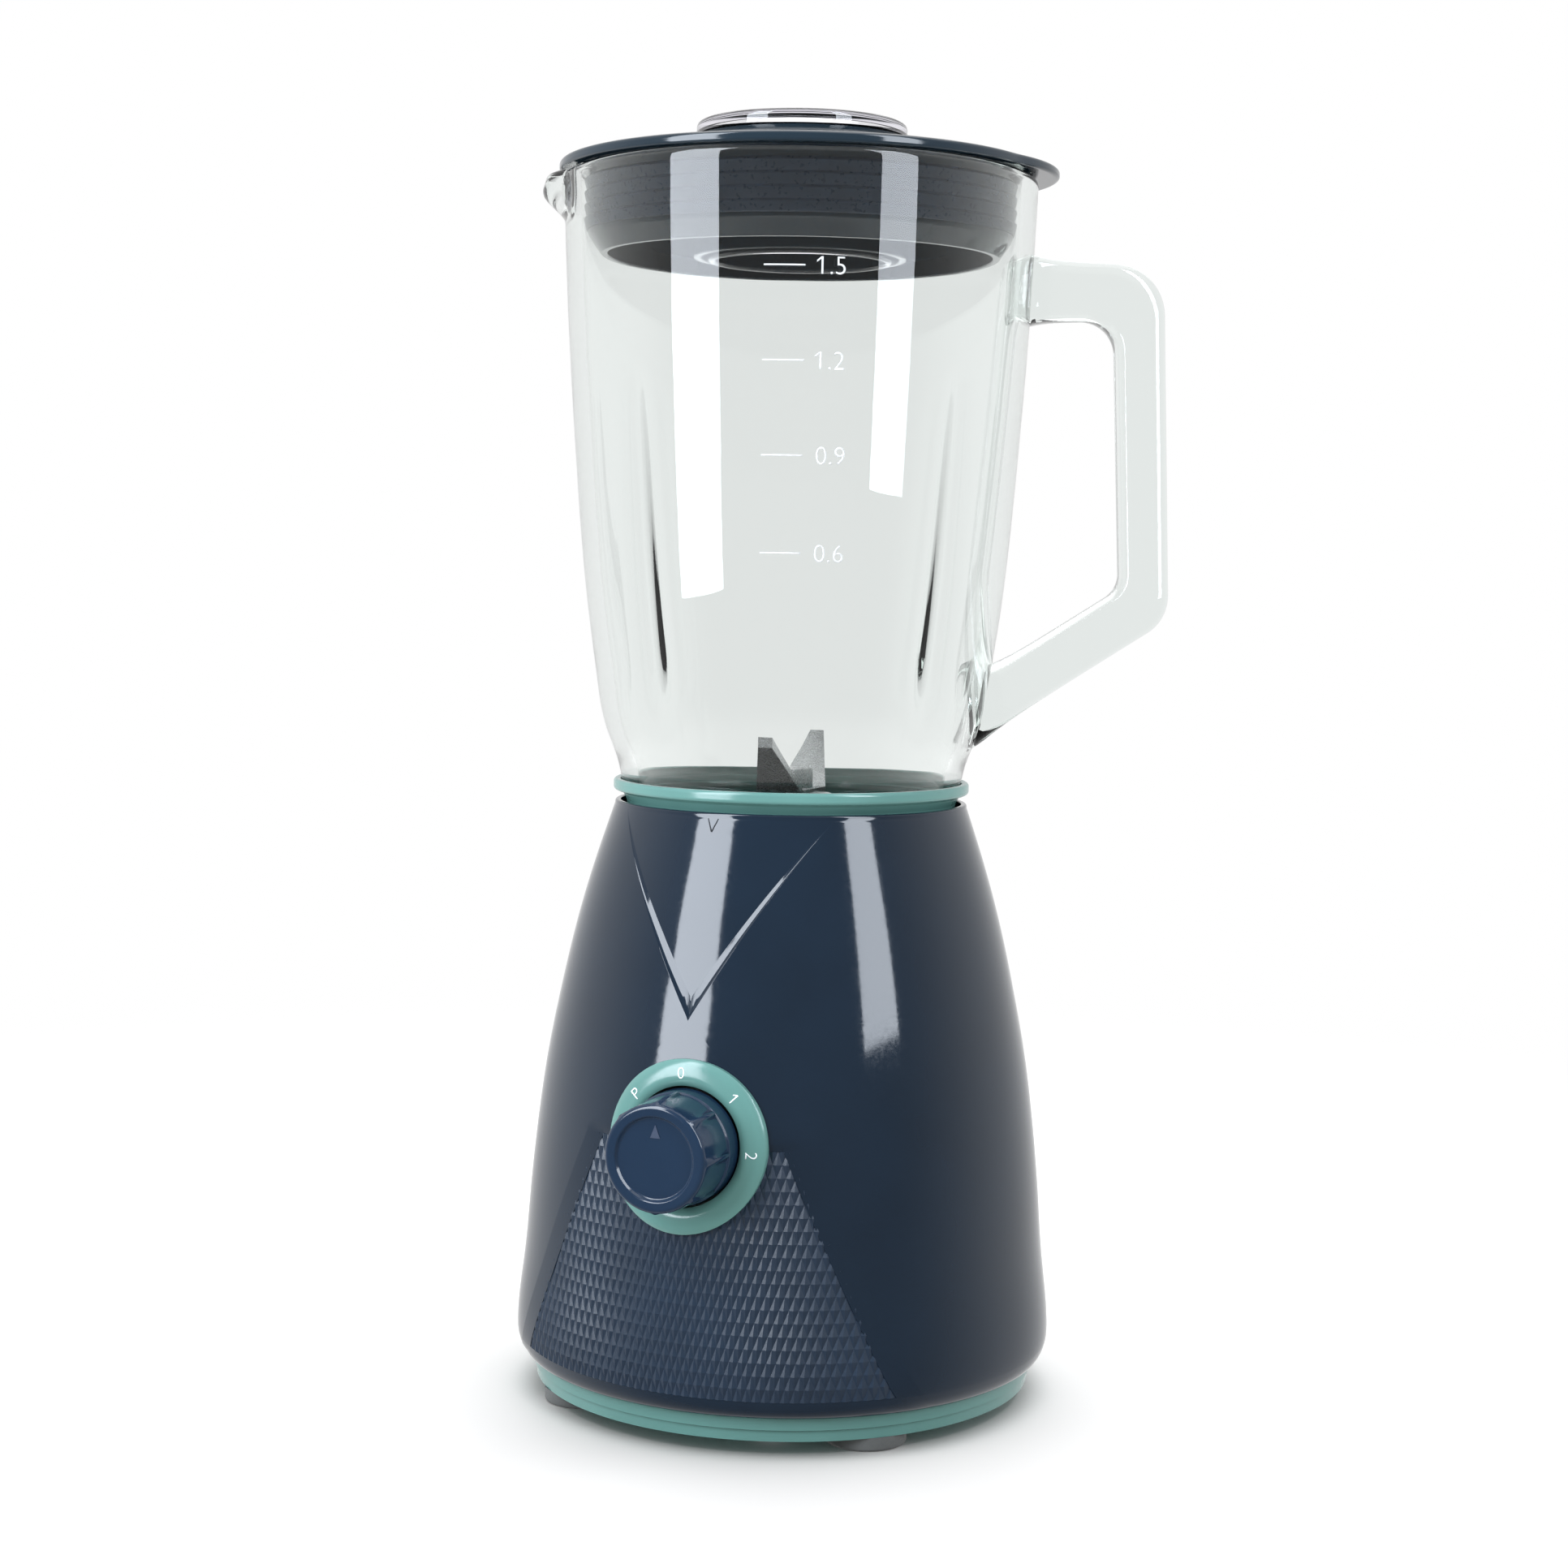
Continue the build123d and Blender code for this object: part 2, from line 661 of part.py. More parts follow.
# Stator stack with its bore, coil windows and bolt holes
with BuildPart() as motor_stator:
    with BuildSketch(Plane.XY.offset(armature_z)):
        RectangleRounded(stator_length, stator_width, stator_corner)
        Circle(armature_radius + air_gap, mode=Mode.SUBTRACT)
        with GridLocations(2 * coil_centre, 2 * coil_offset, 2, 2):
            Rectangle(coil_width + 2 * slide_gap, coil_depth + 2 * slide_gap, mode=Mode.SUBTRACT)
        with PolarLocations(bolt_offset, 2):
            Circle(bolt_radius + screw_gap, mode=Mode.SUBTRACT)
    extrude(amount=stator_height)
motor_stator.part.label = "motor_stator"
export_step(motor_stator.part, "parts/motor_stator.step")

# Field coils: a closed loop round each pole
with BuildPart() as field_coils:
    with BuildSketch(Plane.XY.offset(armature_z - coil_rise)):
        with GridLocations(2 * coil_centre, 2 * coil_offset, 2, 2):
            Rectangle(coil_width, coil_depth)
    extrude(amount=stator_height + 2 * coil_rise)
    with BuildSketch(Plane.XY.offset(armature_z - coil_rise), Plane.XY.offset(stator_top + slide_gap)):
        with GridLocations(2 * coil_centre, 0, 2, 1):
            Rectangle(coil_width, 2 * coil_offset + coil_depth)
    extrude(amount=coil_rise - slide_gap)
field_coils.part.label = "field_coils"
export_step(field_coils.part, "parts/field_coils.step")

# Long bolts that clamp bracket, stator and bracket
with BuildPart() as motor_bolts:
    with BuildSketch(Plane.XY.offset(lower_hub_z - bolt_head_height)):
        with PolarLocations(bolt_offset, 2):
            RegularPolygon(bolt_head_radius, 6)
    extrude(amount=bolt_head_height)
    with BuildSketch(Plane.XY.offset(lower_hub_z)):
        with PolarLocations(bolt_offset, 2):
            Circle(bolt_radius)
    extrude(amount=upper_plate_z + bracket_thickness - lower_hub_z)
motor_bolts.part.label = "motor_bolts"
export_step(motor_bolts.part, "parts/motor_bolts.step")

# Rubber dampers between the bracket's arms and the housing's bosses
with BuildPart() as motor_dampers:
    with BuildSketch(Plane.XY.offset(damper_z)):
        with PolarLocations(arm_circle_radius, arm_count, start_angle=45):
            Circle(damper_radius)
            Circle(bolt_radius + screw_gap, mode=Mode.SUBTRACT)
    extrude(amount=damper_height)
motor_dampers.part.label = "motor_dampers"
export_step(motor_dampers.part, "parts/motor_dampers.step")

# Screws from below through arm and damper into the bosses
with BuildPart() as bracket_screws:
    with BuildSketch(Plane.XY.offset(upper_plate_z - bolt_head_height)):
        with PolarLocations(arm_circle_radius, arm_count, start_angle=45):
            Circle(bolt_head_radius)
    extrude(amount=bolt_head_height)
    with BuildSketch(Plane.XY.offset(upper_plate_z)):
        with PolarLocations(arm_circle_radius, arm_count, start_angle=45):
            Circle(bolt_radius)
    extrude(amount=bracket_thickness + damper_height + bracket_screw_grip - screw_gap)
bracket_screws.part.label = "bracket_screws"
export_step(bracket_screws.part, "parts/bracket_screws.step")

# Brush holders: square tubes on the lower bracket's pads, closed at the far end
with BuildPart() as brush_holders:
    with BuildSketch(Plane.XY.offset(holder_z)):
        with PolarLocations((holder_near + holder_far) / 2, 2, start_angle=90):
            Rectangle(holder_far - holder_near, holder_width)
    extrude(amount=holder_height)
    with BuildSketch(Plane.XY.offset(holder_z + holder_wall)):
        with PolarLocations((holder_near + holder_far - holder_wall) / 2, 2, start_angle=90):
            Rectangle(holder_far - holder_near - holder_wall, brush_width + 2 * slide_gap)
    extrude(amount=brush_height + 2 * slide_gap, mode=Mode.SUBTRACT)
brush_holders.part.label = "brush_holders"
export_step(brush_holders.part, "parts/brush_holders.step")

# Carbon brushes, pressed on the commutator
with BuildPart() as carbon_brushes:
    with BuildSketch(Plane.XY.offset(brush_z - brush_height / 2)):
        with PolarLocations(brush_start + brush_length / 2, 2, start_angle=90):
            Rectangle(brush_length, brush_width)
    extrude(amount=brush_height)
carbon_brushes.part.label = "carbon_brushes"
export_step(carbon_brushes.part, "parts/carbon_brushes.step")

# Brush springs, out of sight in the holders, as plain tubes
spring_back = Plane(origin=(0, brush_start + brush_length, brush_z), x_dir=(1, 0, 0), z_dir=(0, 1, 0))
spring_front = Plane(origin=(0, -brush_start - brush_length, brush_z), x_dir=(1, 0, 0), z_dir=(0, -1, 0))
with BuildPart() as brush_springs:
    with BuildSketch(spring_back, spring_front):
        Circle(spring_radius)
        Circle(spring_radius - spring_wall, mode=Mode.SUBTRACT)
    extrude(amount=spring_length)
brush_springs.part.label = "brush_springs"
export_step(brush_springs.part, "parts/brush_springs.step")

# Rotor: shaft, core, windings, commutator, fan
shaft_top = drive_disc_top + coupling_hub_rise
with BuildPart() as motor_shaft:
    with BuildSketch(Plane.XY.offset(fan_z - shaft_tail)):
        Circle(shaft_radius)
    extrude(amount=shaft_top - fan_z + shaft_tail)
motor_shaft.part.label = "motor_shaft"
export_step(motor_shaft.part, "parts/motor_shaft.step")

with BuildPart() as armature_core:
    with BuildSketch(Plane.XY.offset(armature_z)):
        Circle(armature_radius)
        with PolarLocations(armature_radius - armature_slot_depth / 2 - air_gap, armature_slot_count):
            SlotOverall(armature_slot_depth, armature_slot_width, mode=Mode.SUBTRACT)
        Circle(shaft_radius + press_gap, mode=Mode.SUBTRACT)
    extrude(amount=stator_height)
armature_core.part.label = "armature_core"
export_step(armature_core.part, "parts/armature_core.step")

with BuildPart() as armature_windings:
    with BuildSketch(Plane.XY.offset(armature_z - winding_height), Plane.XY.offset(stator_top)):
        Circle(winding_radius)
        Circle(shaft_radius + press_gap, mode=Mode.SUBTRACT)
    extrude(amount=winding_height)
armature_windings.part.label = "armature_windings"
export_step(armature_windings.part, "parts/armature_windings.step")

with BuildPart() as commutator:
    with BuildSketch(Plane.XY.offset(commutator_z)):
        Circle(commutator_radius)
        Circle(shaft_radius + press_gap, mode=Mode.SUBTRACT)
    extrude(amount=commutator_length)
commutator.part.label = "commutator"
export_step(commutator.part, "parts/commutator.step")

with BuildPart() as cooling_fan:
    with BuildSketch(Plane.XY.offset(fan_z)):
        Circle(fan_hub_radius)
        with PolarLocations((fan_hub_radius + fan_radius) / 2 - fan_blade_thickness, fan_blade_count):
            Rectangle(fan_radius - fan_hub_radius, fan_blade_thickness)
    extrude(amount=fan_depth)
    with BuildSketch(Plane.XY.offset(fan_top - fan_disc_thickness)):
        Circle(fan_radius)
    extrude(amount=fan_disc_thickness)
    with BuildSketch(Plane.XY.offset(fan_z)):
        Circle(shaft_radius + press_gap)
    extrude(amount=fan_depth, mode=Mode.SUBTRACT)
cooling_fan.part.label = "cooling_fan"
export_step(cooling_fan.part, "parts/cooling_fan.step")

# Drive coupling on the motor shaft, with teeth upwards
tooth_circle_radius = coupling_radius - tooth_length / 2
with BuildPart() as drive_coupling:
    with BuildSketch(Plane.XY.offset(drive_disc_z)):
        Circle(coupling_radius)
    extrude(amount=coupling_disc)
    with BuildSketch(Plane.XY.offset(drive_disc_z)):
        Circle(coupling_hub_radius)
    extrude(amount=coupling_disc + coupling_hub_rise)
    with BuildSketch(Plane.XY.offset(drive_disc_top)):
        with PolarLocations(tooth_circle_radius, tooth_count):
            Rectangle(tooth_length, tooth_width)
    extrude(amount=tooth_height)
    with BuildSketch(Plane.XY.offset(drive_disc_z)):
        Circle(shaft_radius + press_gap)
    extrude(amount=coupling_disc + coupling_hub_rise, mode=Mode.SUBTRACT)
drive_coupling.part.label = "drive_coupling"
export_step(drive_coupling.part, "parts/drive_coupling.step")

# Driven coupling on the blade shaft, with teeth downwards between the drive's
blade_shaft_z = driven_disc_z + coupling_gap
with BuildPart() as driven_coupling:
    with BuildSketch(Plane.XY.offset(driven_disc_z)):
        Circle(coupling_radius)
    extrude(amount=coupling_disc)
    with BuildSketch(Plane.XY.offset(driven_disc_z)):
        with PolarLocations(tooth_circle_radius, tooth_count, start_angle=180 / tooth_count):
            Rectangle(tooth_length, tooth_width)
    extrude(amount=-tooth_height)
    with BuildSketch(Plane.XY.offset(blade_shaft_z)):
        Circle(blade_shaft_radius + press_gap)
    extrude(amount=coupling_disc, mode=Mode.SUBTRACT)
driven_coupling.part.label = "driven_coupling"
export_step(driven_coupling.part, "parts/driven_coupling.step")

# Jug collar: skirt in the housing's well, ledge for the carrier, flange round the glass
collar_inner = collar_skirt_radius - collar_wall
with BuildPart() as jug_collar:
    with BuildSketch(Plane.XZ):
        with BuildLine():
            Polyline((collar_skirt_radius, collar_z), (collar_skirt_radius, collar_neck_top - slide_gap),
                     (collar_flange_radius, collar_neck_top + collar_rise / 2.5),
                     (collar_flange_radius, collar_top - collar_lip / 2))
            TangentArc((collar_flange_radius, collar_top - collar_lip / 2),
                       (collar_flange_radius - collar_lip / 2, collar_top), tangent=(0, 1))
            Polyline((collar_flange_radius - collar_lip / 2, collar_top), (collar_mouth_radius, collar_top),
                     (collar_mouth_radius, collar_neck_top + collar_rise / 2), (collar_inner, collar_neck_top),
                     (collar_inner, ledge_top), (collar_inner - collar_ledge_width, ledge_top),
                     (collar_inner - collar_ledge_width, ledge_top - collar_ledge_thickness),
                     (collar_inner, ledge_top - collar_ledge_thickness), (collar_inner, collar_z),
                     (collar_skirt_radius, collar_z))
        make_face()
    revolve(axis=Axis.Z)
    with BuildSketch(Plane.XY.offset(collar_z)):
        with PolarLocations(collar_skirt_radius - collar_wall / 2, lug_count, start_angle=45):
            Rectangle(2 * collar_wall + 2 * slide_gap, lug_width + 2 * slide_gap)
    extrude(amount=lug_height + slide_gap, mode=Mode.SUBTRACT)
jug_collar.part.label = "jug_collar"
export_step(jug_collar.part, "parts/jug_collar.step")

# Blade carrier: floor of the jug with the bearing hub
with BuildPart() as blade_carrier:
    with BuildSketch(Plane.XY.offset(ledge_top)):
        Circle(collar_inner - slide_gap)
    extrude(amount=carrier_thickness)
    with BuildSketch(Plane.XY.offset(carrier_hub_z)):
        Circle(carrier_hub_radius)
    extrude(amount=carrier_hub_top - carrier_hub_z)
    fillet(blade_carrier.edges().group_by(Axis.Z)[-1], radius=carrier_thickness)
    with BuildSketch(Plane.XY.offset(carrier_hub_z)):
        Circle(blade_bearing_radius + press_gap)
    extrude(amount=carrier_hub_top - carrier_hub_z, mode=Mode.SUBTRACT)
blade_carrier.part.label = "blade_carrier"
export_step(blade_carrier.part, "parts/blade_carrier.step")

with BuildPart() as jug_gasket:
    with BuildSketch(Plane.XY.offset(carrier_top)):
        Circle(glass_neck_radius)
        Circle(glass_neck_radius - gasket_width, mode=Mode.SUBTRACT)
    extrude(amount=gasket_thickness)
jug_gasket.part.label = "jug_gasket"
export_step(jug_gasket.part, "parts/jug_gasket.step")

with BuildPart() as blade_bearing:
    with BuildSketch(Plane.XY.offset(carrier_hub_z)):
        Circle(blade_bearing_radius)
        Circle(blade_shaft_radius + running_gap, mode=Mode.SUBTRACT)
    extrude(amount=carrier_hub_top - seal_height - carrier_hub_z)
blade_bearing.part.label = "blade_bearing"
export_step(blade_bearing.part, "parts/blade_bearing.step")

with BuildPart() as blade_seal:
    with BuildSketch(Plane.XY.offset(carrier_hub_top - seal_height)):
        Circle(blade_bearing_radius)
        Circle(blade_shaft_radius + running_gap, mode=Mode.SUBTRACT)
    extrude(amount=seal_height)
blade_seal.part.label = "blade_seal"
export_step(blade_seal.part, "parts/blade_seal.step")

# Ribs inside the glass: leaning rods, trimmed to stay inside the wall
rib_low_z = glass_foot_z + rib_low_height
rib_top_z = glass_foot_z + rib_top_height
rib_low_radius = jug_radius(rib_low_z) - glass_wall - rib_depth_low + rib_radius
rib_top_radius = jug_radius(rib_top_z) - glass_wall + rib_radius
rib_low_point = Vector(rib_low_radius, 0, rib_low_z)
rib_top_point = Vector(rib_top_radius, 0, rib_top_z)
rib_way = rib_top_point - rib_low_point
rib_trim = jug_points(glass_wall / 4)
with BuildPart() as jug_ribs:
    for rib in range(rib_count):
        rib_turn = jug_turn + 45 + rib * 360 / rib_count
        with BuildSketch(Plane(origin=rib_low_point.rotate(Axis.Z, rib_turn),
                               z_dir=rib_way.rotate(Axis.Z, rib_turn))):
            Circle(rib_radius)
        extrude(amount=rib_way.length)
    with BuildSketch(Plane.XZ):
        with BuildLine():
            Spline(*rib_trim)
            Polyline(rib_trim[-1], (0, glass_rim_z), (0, glass_foot_z), rib_trim[0])
        make_face()
    revolve(axis=Axis.Z, mode=Mode.INTERSECT)

# Glass jug with handle, spout and ribs
jug_outer = jug_points(0.0)
jug_inner = jug_points(glass_wall)
arm_top = glass_rim_z - handle_arm_drop
arm_low = arm_top - handle_arm_height
bar_out = jug_rim_radius + handle_reach
lean = math.tan(math.radians(handle_lean))
slope = math.tan(math.radians(handle_slope))
low_corner_z = glass_rim_z - handle_low_drop
bar_out_top = bar_out - lean * (arm_top - low_corner_z)
bar_in_top = bar_out_top - handle_bar_width + lean * handle_arm_height
bar_in_low = bar_out - handle_bar_width
inner_low_z = low_corner_z + handle_low_arm / math.cos(math.radians(handle_slope)) - slope * handle_bar_width
handle_root = jug_foot_radius
outer_root_z = low_corner_z - slope * (bar_out - handle_root)
inner_root_z = inner_low_z - slope * (bar_in_low - handle_root)
spout_offset = jug_rim_radius + spout_reach - spout_radius
spout_centre = (-spout_offset * jug_east[0], -spout_offset * jug_east[1])
with BuildPart() as glass_jug:
    with BuildSketch(jug_plane):
        with BuildLine():
            FilletPolyline((handle_root, arm_top), (bar_out_top, arm_top), (bar_out, low_corner_z),
                           (handle_root, outer_root_z), radius=[handle_corner, handle_corner_low])
            FilletPolyline((handle_root, inner_root_z), (bar_in_low, inner_low_z), (bar_in_top, arm_low),
                           (handle_root, arm_low), radius=[handle_inner_corner_low, handle_inner_corner])
            Line((handle_root, outer_root_z), (handle_root, inner_root_z))
            Line((handle_root, arm_low), (handle_root, arm_top))
        make_face()
    extrude(amount=handle_depth / 2, both=True)
    handle_sides = glass_jug.faces().sort_by(Axis((0, 0, 0), jug_south))
    fillet(handle_sides[0].edges() + handle_sides[-1].edges(), radius=handle_edge)
    with BuildSketch(Plane.XY.offset(glass_rim_z - spout_drop)):
        with Locations(spout_centre):
            Circle(spout_radius)
    extrude(amount=spout_drop)
    fillet(glass_jug.edges().filter_by(GeomType.CIRCLE).filter_by(
        lambda edge: abs(edge.radius - spout_radius) < press_gap).sort_by(Axis.Z)[0], radius=spout_wall)
    with BuildSketch(Plane.XZ):
        with BuildLine():
            Polyline((0, glass_rim_z), (0, glass_z), (glass_neck_radius, glass_z),
                     (glass_neck_radius, glass_z + jug_neck_height), jug_outer[0])
            Spline(*jug_outer)
            Line(jug_outer[-1], (0, glass_rim_z))
        make_face()
    revolve(axis=Axis.Z)
    with BuildSketch(Plane.XZ):
        with BuildLine():
            Polyline((0, glass_rim_z), (0, glass_z), (glass_neck_inner, glass_z),
                     (glass_neck_inner, glass_z + jug_neck_height), jug_inner[0])
            Spline(*jug_inner)
            Line(jug_inner[-1], (0, glass_rim_z))
        make_face()
    revolve(axis=Axis.Z, mode=Mode.SUBTRACT)
    with BuildSketch(Plane.XY.offset(glass_rim_z - spout_drop + spout_wall)):
        with Locations(spout_centre):
            Circle(spout_radius - spout_wall)
    extrude(amount=spout_drop - spout_wall, mode=Mode.SUBTRACT)
    add(jug_ribs.part)
glass_jug.part.label = "glass_jug"
export_step(glass_jug.part, "parts/glass_jug.step")

# Blade shaft, washer, two bent blades and the nut
washer_z = carrier_hub_top + coupling_gap
lower_blade_z = washer_z + blade_washer_thickness
upper_blade_z = lower_blade_z + blade_thickness
nut_z = upper_blade_z + blade_thickness
with BuildPart() as blade_shaft:
    with BuildSketch(Plane.XY.offset(blade_shaft_z)):
        Circle(blade_shaft_radius)
    extrude(amount=nut_z + nut_height - blade_shaft_z)
blade_shaft.part.label = "blade_shaft"
export_step(blade_shaft.part, "parts/blade_shaft.step")

with BuildPart() as blade_washer:
    with BuildSketch(Plane.XY.offset(washer_z)):
        Circle(blade_washer_radius)
        Circle(blade_shaft_radius + press_gap, mode=Mode.SUBTRACT)
    extrude(amount=blade_washer_thickness)
blade_washer.part.label = "blade_washer"
export_step(blade_washer.part, "parts/blade_washer.step")

tip_start = blade_reach - blade_flat
with BuildPart() as lower_blade:
    with BuildSketch(Plane.XZ):
        with BuildLine():
            Polyline((-blade_reach, lower_blade_z - lower_blade_drop), (-tip_start, lower_blade_z - lower_blade_drop),
                     (-blade_flat, lower_blade_z), (blade_flat, lower_blade_z),
                     (tip_start, lower_blade_z - lower_blade_drop), (blade_reach, lower_blade_z - lower_blade_drop),
                     (blade_reach, lower_blade_z - lower_blade_drop + blade_thickness),
                     (tip_start, lower_blade_z - lower_blade_drop + blade_thickness),
                     (blade_flat, lower_blade_z + blade_thickness), (-blade_flat, lower_blade_z + blade_thickness),
                     (-tip_start, lower_blade_z - lower_blade_drop + blade_thickness),
                     (-blade_reach, lower_blade_z - lower_blade_drop + blade_thickness), close=True)
        make_face()
    extrude(amount=blade_width / 2, both=True)
    with BuildSketch(Plane.XY.offset(lower_blade_z - lower_blade_drop)):
        with BuildLine():
            Polyline((-blade_reach, -blade_tip_width / 2), (-blade_flat, -blade_width / 2),
                     (blade_flat, -blade_width / 2), (blade_reach, blade_width / 2 - blade_tip_width),
                     (blade_reach, blade_tip_width / 2), (blade_flat, blade_width / 2),
                     (-blade_flat, blade_width / 2), (-blade_reach, blade_tip_width - blade_width / 2), close=True)
        make_face()
    extrude(amount=lower_blade_drop + blade_thickness, mode=Mode.INTERSECT)
    with BuildSketch(Plane.XY.offset(lower_blade_z)):
        Circle(blade_shaft_radius + press_gap)
    extrude(amount=blade_thickness, mode=Mode.SUBTRACT)
lower_blade.part.label = "lower_blade"
export_step(lower_blade.part, "parts/lower_blade.step")

with BuildPart() as upper_blade:
    with BuildSketch(Plane.YZ):
        with BuildLine():
            Polyline((-blade_flat, upper_blade_z), (blade_flat, upper_blade_z),
                     (tip_start, upper_blade_z + upper_blade_rise),
                     (tip_start, upper_blade_z + upper_blade_rise + 2 * blade_thickness),
                     (blade_flat, upper_blade_z + blade_thickness), (-blade_flat, upper_blade_z + blade_thickness),
                     (-tip_start, upper_blade_z + upper_blade_rise + 2 * blade_thickness),
                     (-tip_start, upper_blade_z + upper_blade_rise), close=True)
        make_face()
    extrude(amount=blade_width / 2, both=True)
    with BuildSketch(Plane.XY.offset(upper_blade_z)):
        with BuildLine():
            Polyline((-blade_width / 2, -blade_flat), (blade_tip_width - blade_width / 2, -tip_start),
                     (blade_tip_width / 2, -tip_start), (blade_width / 2, -blade_flat),
                     (blade_width / 2, blade_flat), (blade_width / 2 - blade_tip_width, tip_start),
                     (-blade_tip_width / 2, tip_start), (-blade_width / 2, blade_flat), close=True)
        make_face()
    extrude(amount=upper_blade_rise + 2 * blade_thickness, mode=Mode.INTERSECT)
    with BuildSketch(Plane.XY.offset(upper_blade_z)):
        Circle(blade_shaft_radius + press_gap)
    extrude(amount=blade_thickness, mode=Mode.SUBTRACT)
upper_blade.part.label = "upper_blade"
export_step(upper_blade.part, "parts/upper_blade.step")

with BuildPart() as blade_nut:
    with BuildSketch(Plane.XY.offset(nut_z)):
        RegularPolygon(nut_width / 2, 6, major_radius=False)
        Circle(blade_shaft_radius + press_gap, mode=Mode.SUBTRACT)
    extrude(amount=nut_height)
blade_nut.part.label = "blade_nut"
export_step(blade_nut.part, "parts/blade_nut.step")

# Lid: domed top, brim, finger tab, hollow plug and neck for the cap
lid_radius = jug_rim_radius + lid_overhang
plug_z = lid_z - plug_depth
plug_radius = jug_radius(plug_z) - glass_wall - plug_gap
neck_outer = neck_radius + neck_wall
dome_radius = (lid_radius + neck_outer) / 2
dome_z = lid_z + lid_edge + lid_crown_share * lid_rise
tab_offset = lid_radius + tab_reach - tab_radius
tab_centre = (tab_offset * jug_east[0], tab_offset * jug_east[1])
with BuildPart() as lid:
    with BuildSketch(Plane.XZ):
        with BuildLine():
            Polyline((plug_radius, lid_z), (lid_radius - lid_edge / 2, lid_z), (lid_radius, lid_z + lid_edge / 3),
                     (lid_radius - lid_edge / 3, lid_z + lid_edge))
            ThreePointArc((lid_radius - lid_edge / 3, lid_z + lid_edge), (dome_radius, dome_z),
                          (neck_outer + neck_wall, neck_top))
            Polyline((neck_outer + neck_wall, neck_top), (neck_radius, neck_top), (neck_radius, plug_z),
                     (neck_outer, plug_z), (neck_outer, neck_top - lid_wall), (dome_radius, dome_z - lid_wall),
                     (plug_radius - lid_wall, lid_z + lid_edge + lid_shoulder_share * lid_rise - lid_wall),
                     (plug_radius - lid_wall, plug_z), (plug_radius, plug_z), (plug_radius, lid_z))
        make_face()
    revolve(axis=Axis.Z)
    with BuildSketch(Plane.XY.offset(lid_z)):
        with Locations(tab_centre):
            Circle(tab_radius)
        Circle(plug_radius - lid_wall / 2, mode=Mode.SUBTRACT)
    extrude(amount=lid_edge)
lid.part.label = "lid"
export_step(lid.part, "parts/lid.step")

# Lid seal: a sleeve round the plug with ribs that reach for the glass
lid_seal_z = lid_z - lid_seal_drop - lid_seal_height
lid_seal_reach = jug_radius(lid_seal_z) - glass_wall - slide_gap
with BuildPart() as lid_seal:
    with BuildSketch(Plane.XY.offset(lid_seal_z)):
        Circle(plug_radius + press_gap + lid_seal_wall)
        Circle(plug_radius + press_gap, mode=Mode.SUBTRACT)
    extrude(amount=lid_seal_height)
    for rib in range(lid_seal_rib_count):
        rib_step = (lid_seal_height - lid_seal_rib_height) / (lid_seal_rib_count - 1)
        with BuildSketch(Plane.XY.offset(lid_seal_z + rib * rib_step)):
            Circle(lid_seal_reach)
            Circle(plug_radius + press_gap, mode=Mode.SUBTRACT)
        extrude(amount=lid_seal_rib_height)
lid_seal.part.label = "lid_seal"
export_step(lid_seal.part, "parts/lid_seal.step")

# Filler cap: a clear cup, open downwards, that hangs in the lid's neck by its rim
cap_z = neck_top + seat_gap
cap_top = cap_z + cap_rim_height
cap_bottom = cap_z - cap_depth
cap_radius = neck_radius - slide_gap
with BuildPart() as filler_cap:
    with BuildSketch(Plane.XZ):
        with BuildLine():
            Polyline((0, cap_top), (cap_rim_radius, cap_top), (cap_rim_radius, cap_z), (cap_radius, cap_z),
                     (cap_radius - cap_draft, cap_bottom), (cap_radius - cap_draft - cap_wall, cap_bottom),
                     (cap_radius - cap_wall, cap_top - cap_top_thickness), (0, cap_top - cap_top_thickness),
                     (0, cap_top))
        make_face()
    revolve(axis=Axis.Z)
    fillet(filler_cap.edges().filter_by(GeomType.CIRCLE).filter_by(
        lambda edge: abs(edge.radius - cap_rim_radius) < press_gap), radius=cap_rim_height / 2.5)
filler_cap.part.label = "filler_cap"
export_step(filler_cap.part, "parts/filler_cap.step")
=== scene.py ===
import math

import bmesh
import bpy
import numpy as np
from mathutils import Matrix


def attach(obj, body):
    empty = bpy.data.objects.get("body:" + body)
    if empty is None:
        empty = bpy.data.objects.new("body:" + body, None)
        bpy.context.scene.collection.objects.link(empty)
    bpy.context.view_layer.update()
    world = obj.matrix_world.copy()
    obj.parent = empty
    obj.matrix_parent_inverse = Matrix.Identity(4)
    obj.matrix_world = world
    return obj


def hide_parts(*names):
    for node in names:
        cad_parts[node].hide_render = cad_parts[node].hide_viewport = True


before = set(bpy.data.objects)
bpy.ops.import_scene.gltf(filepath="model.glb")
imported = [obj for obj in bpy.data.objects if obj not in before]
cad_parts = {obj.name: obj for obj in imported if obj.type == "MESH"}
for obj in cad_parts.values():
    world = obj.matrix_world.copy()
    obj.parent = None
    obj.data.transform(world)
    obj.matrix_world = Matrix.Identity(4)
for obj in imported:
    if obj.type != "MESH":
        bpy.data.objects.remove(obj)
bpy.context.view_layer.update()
mm = 0.001
print("frame loaded:", len(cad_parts), "nodes")


def addObject(name, data):
    made = bpy.data.objects.new(name, data)
    bpy.context.scene.collection.objects.link(made)
    return made


# camera

cameraSetup = {
    "place": (0.311953, -0.752629, 0.245768),
    "round": 23.334,  # degrees round the object from straight ahead
    "pitch": 4.492,
    "yaw": 0.668,
    "roll": 0.953,
    "lens": 62.46,
    "sensor": 36.0,
}


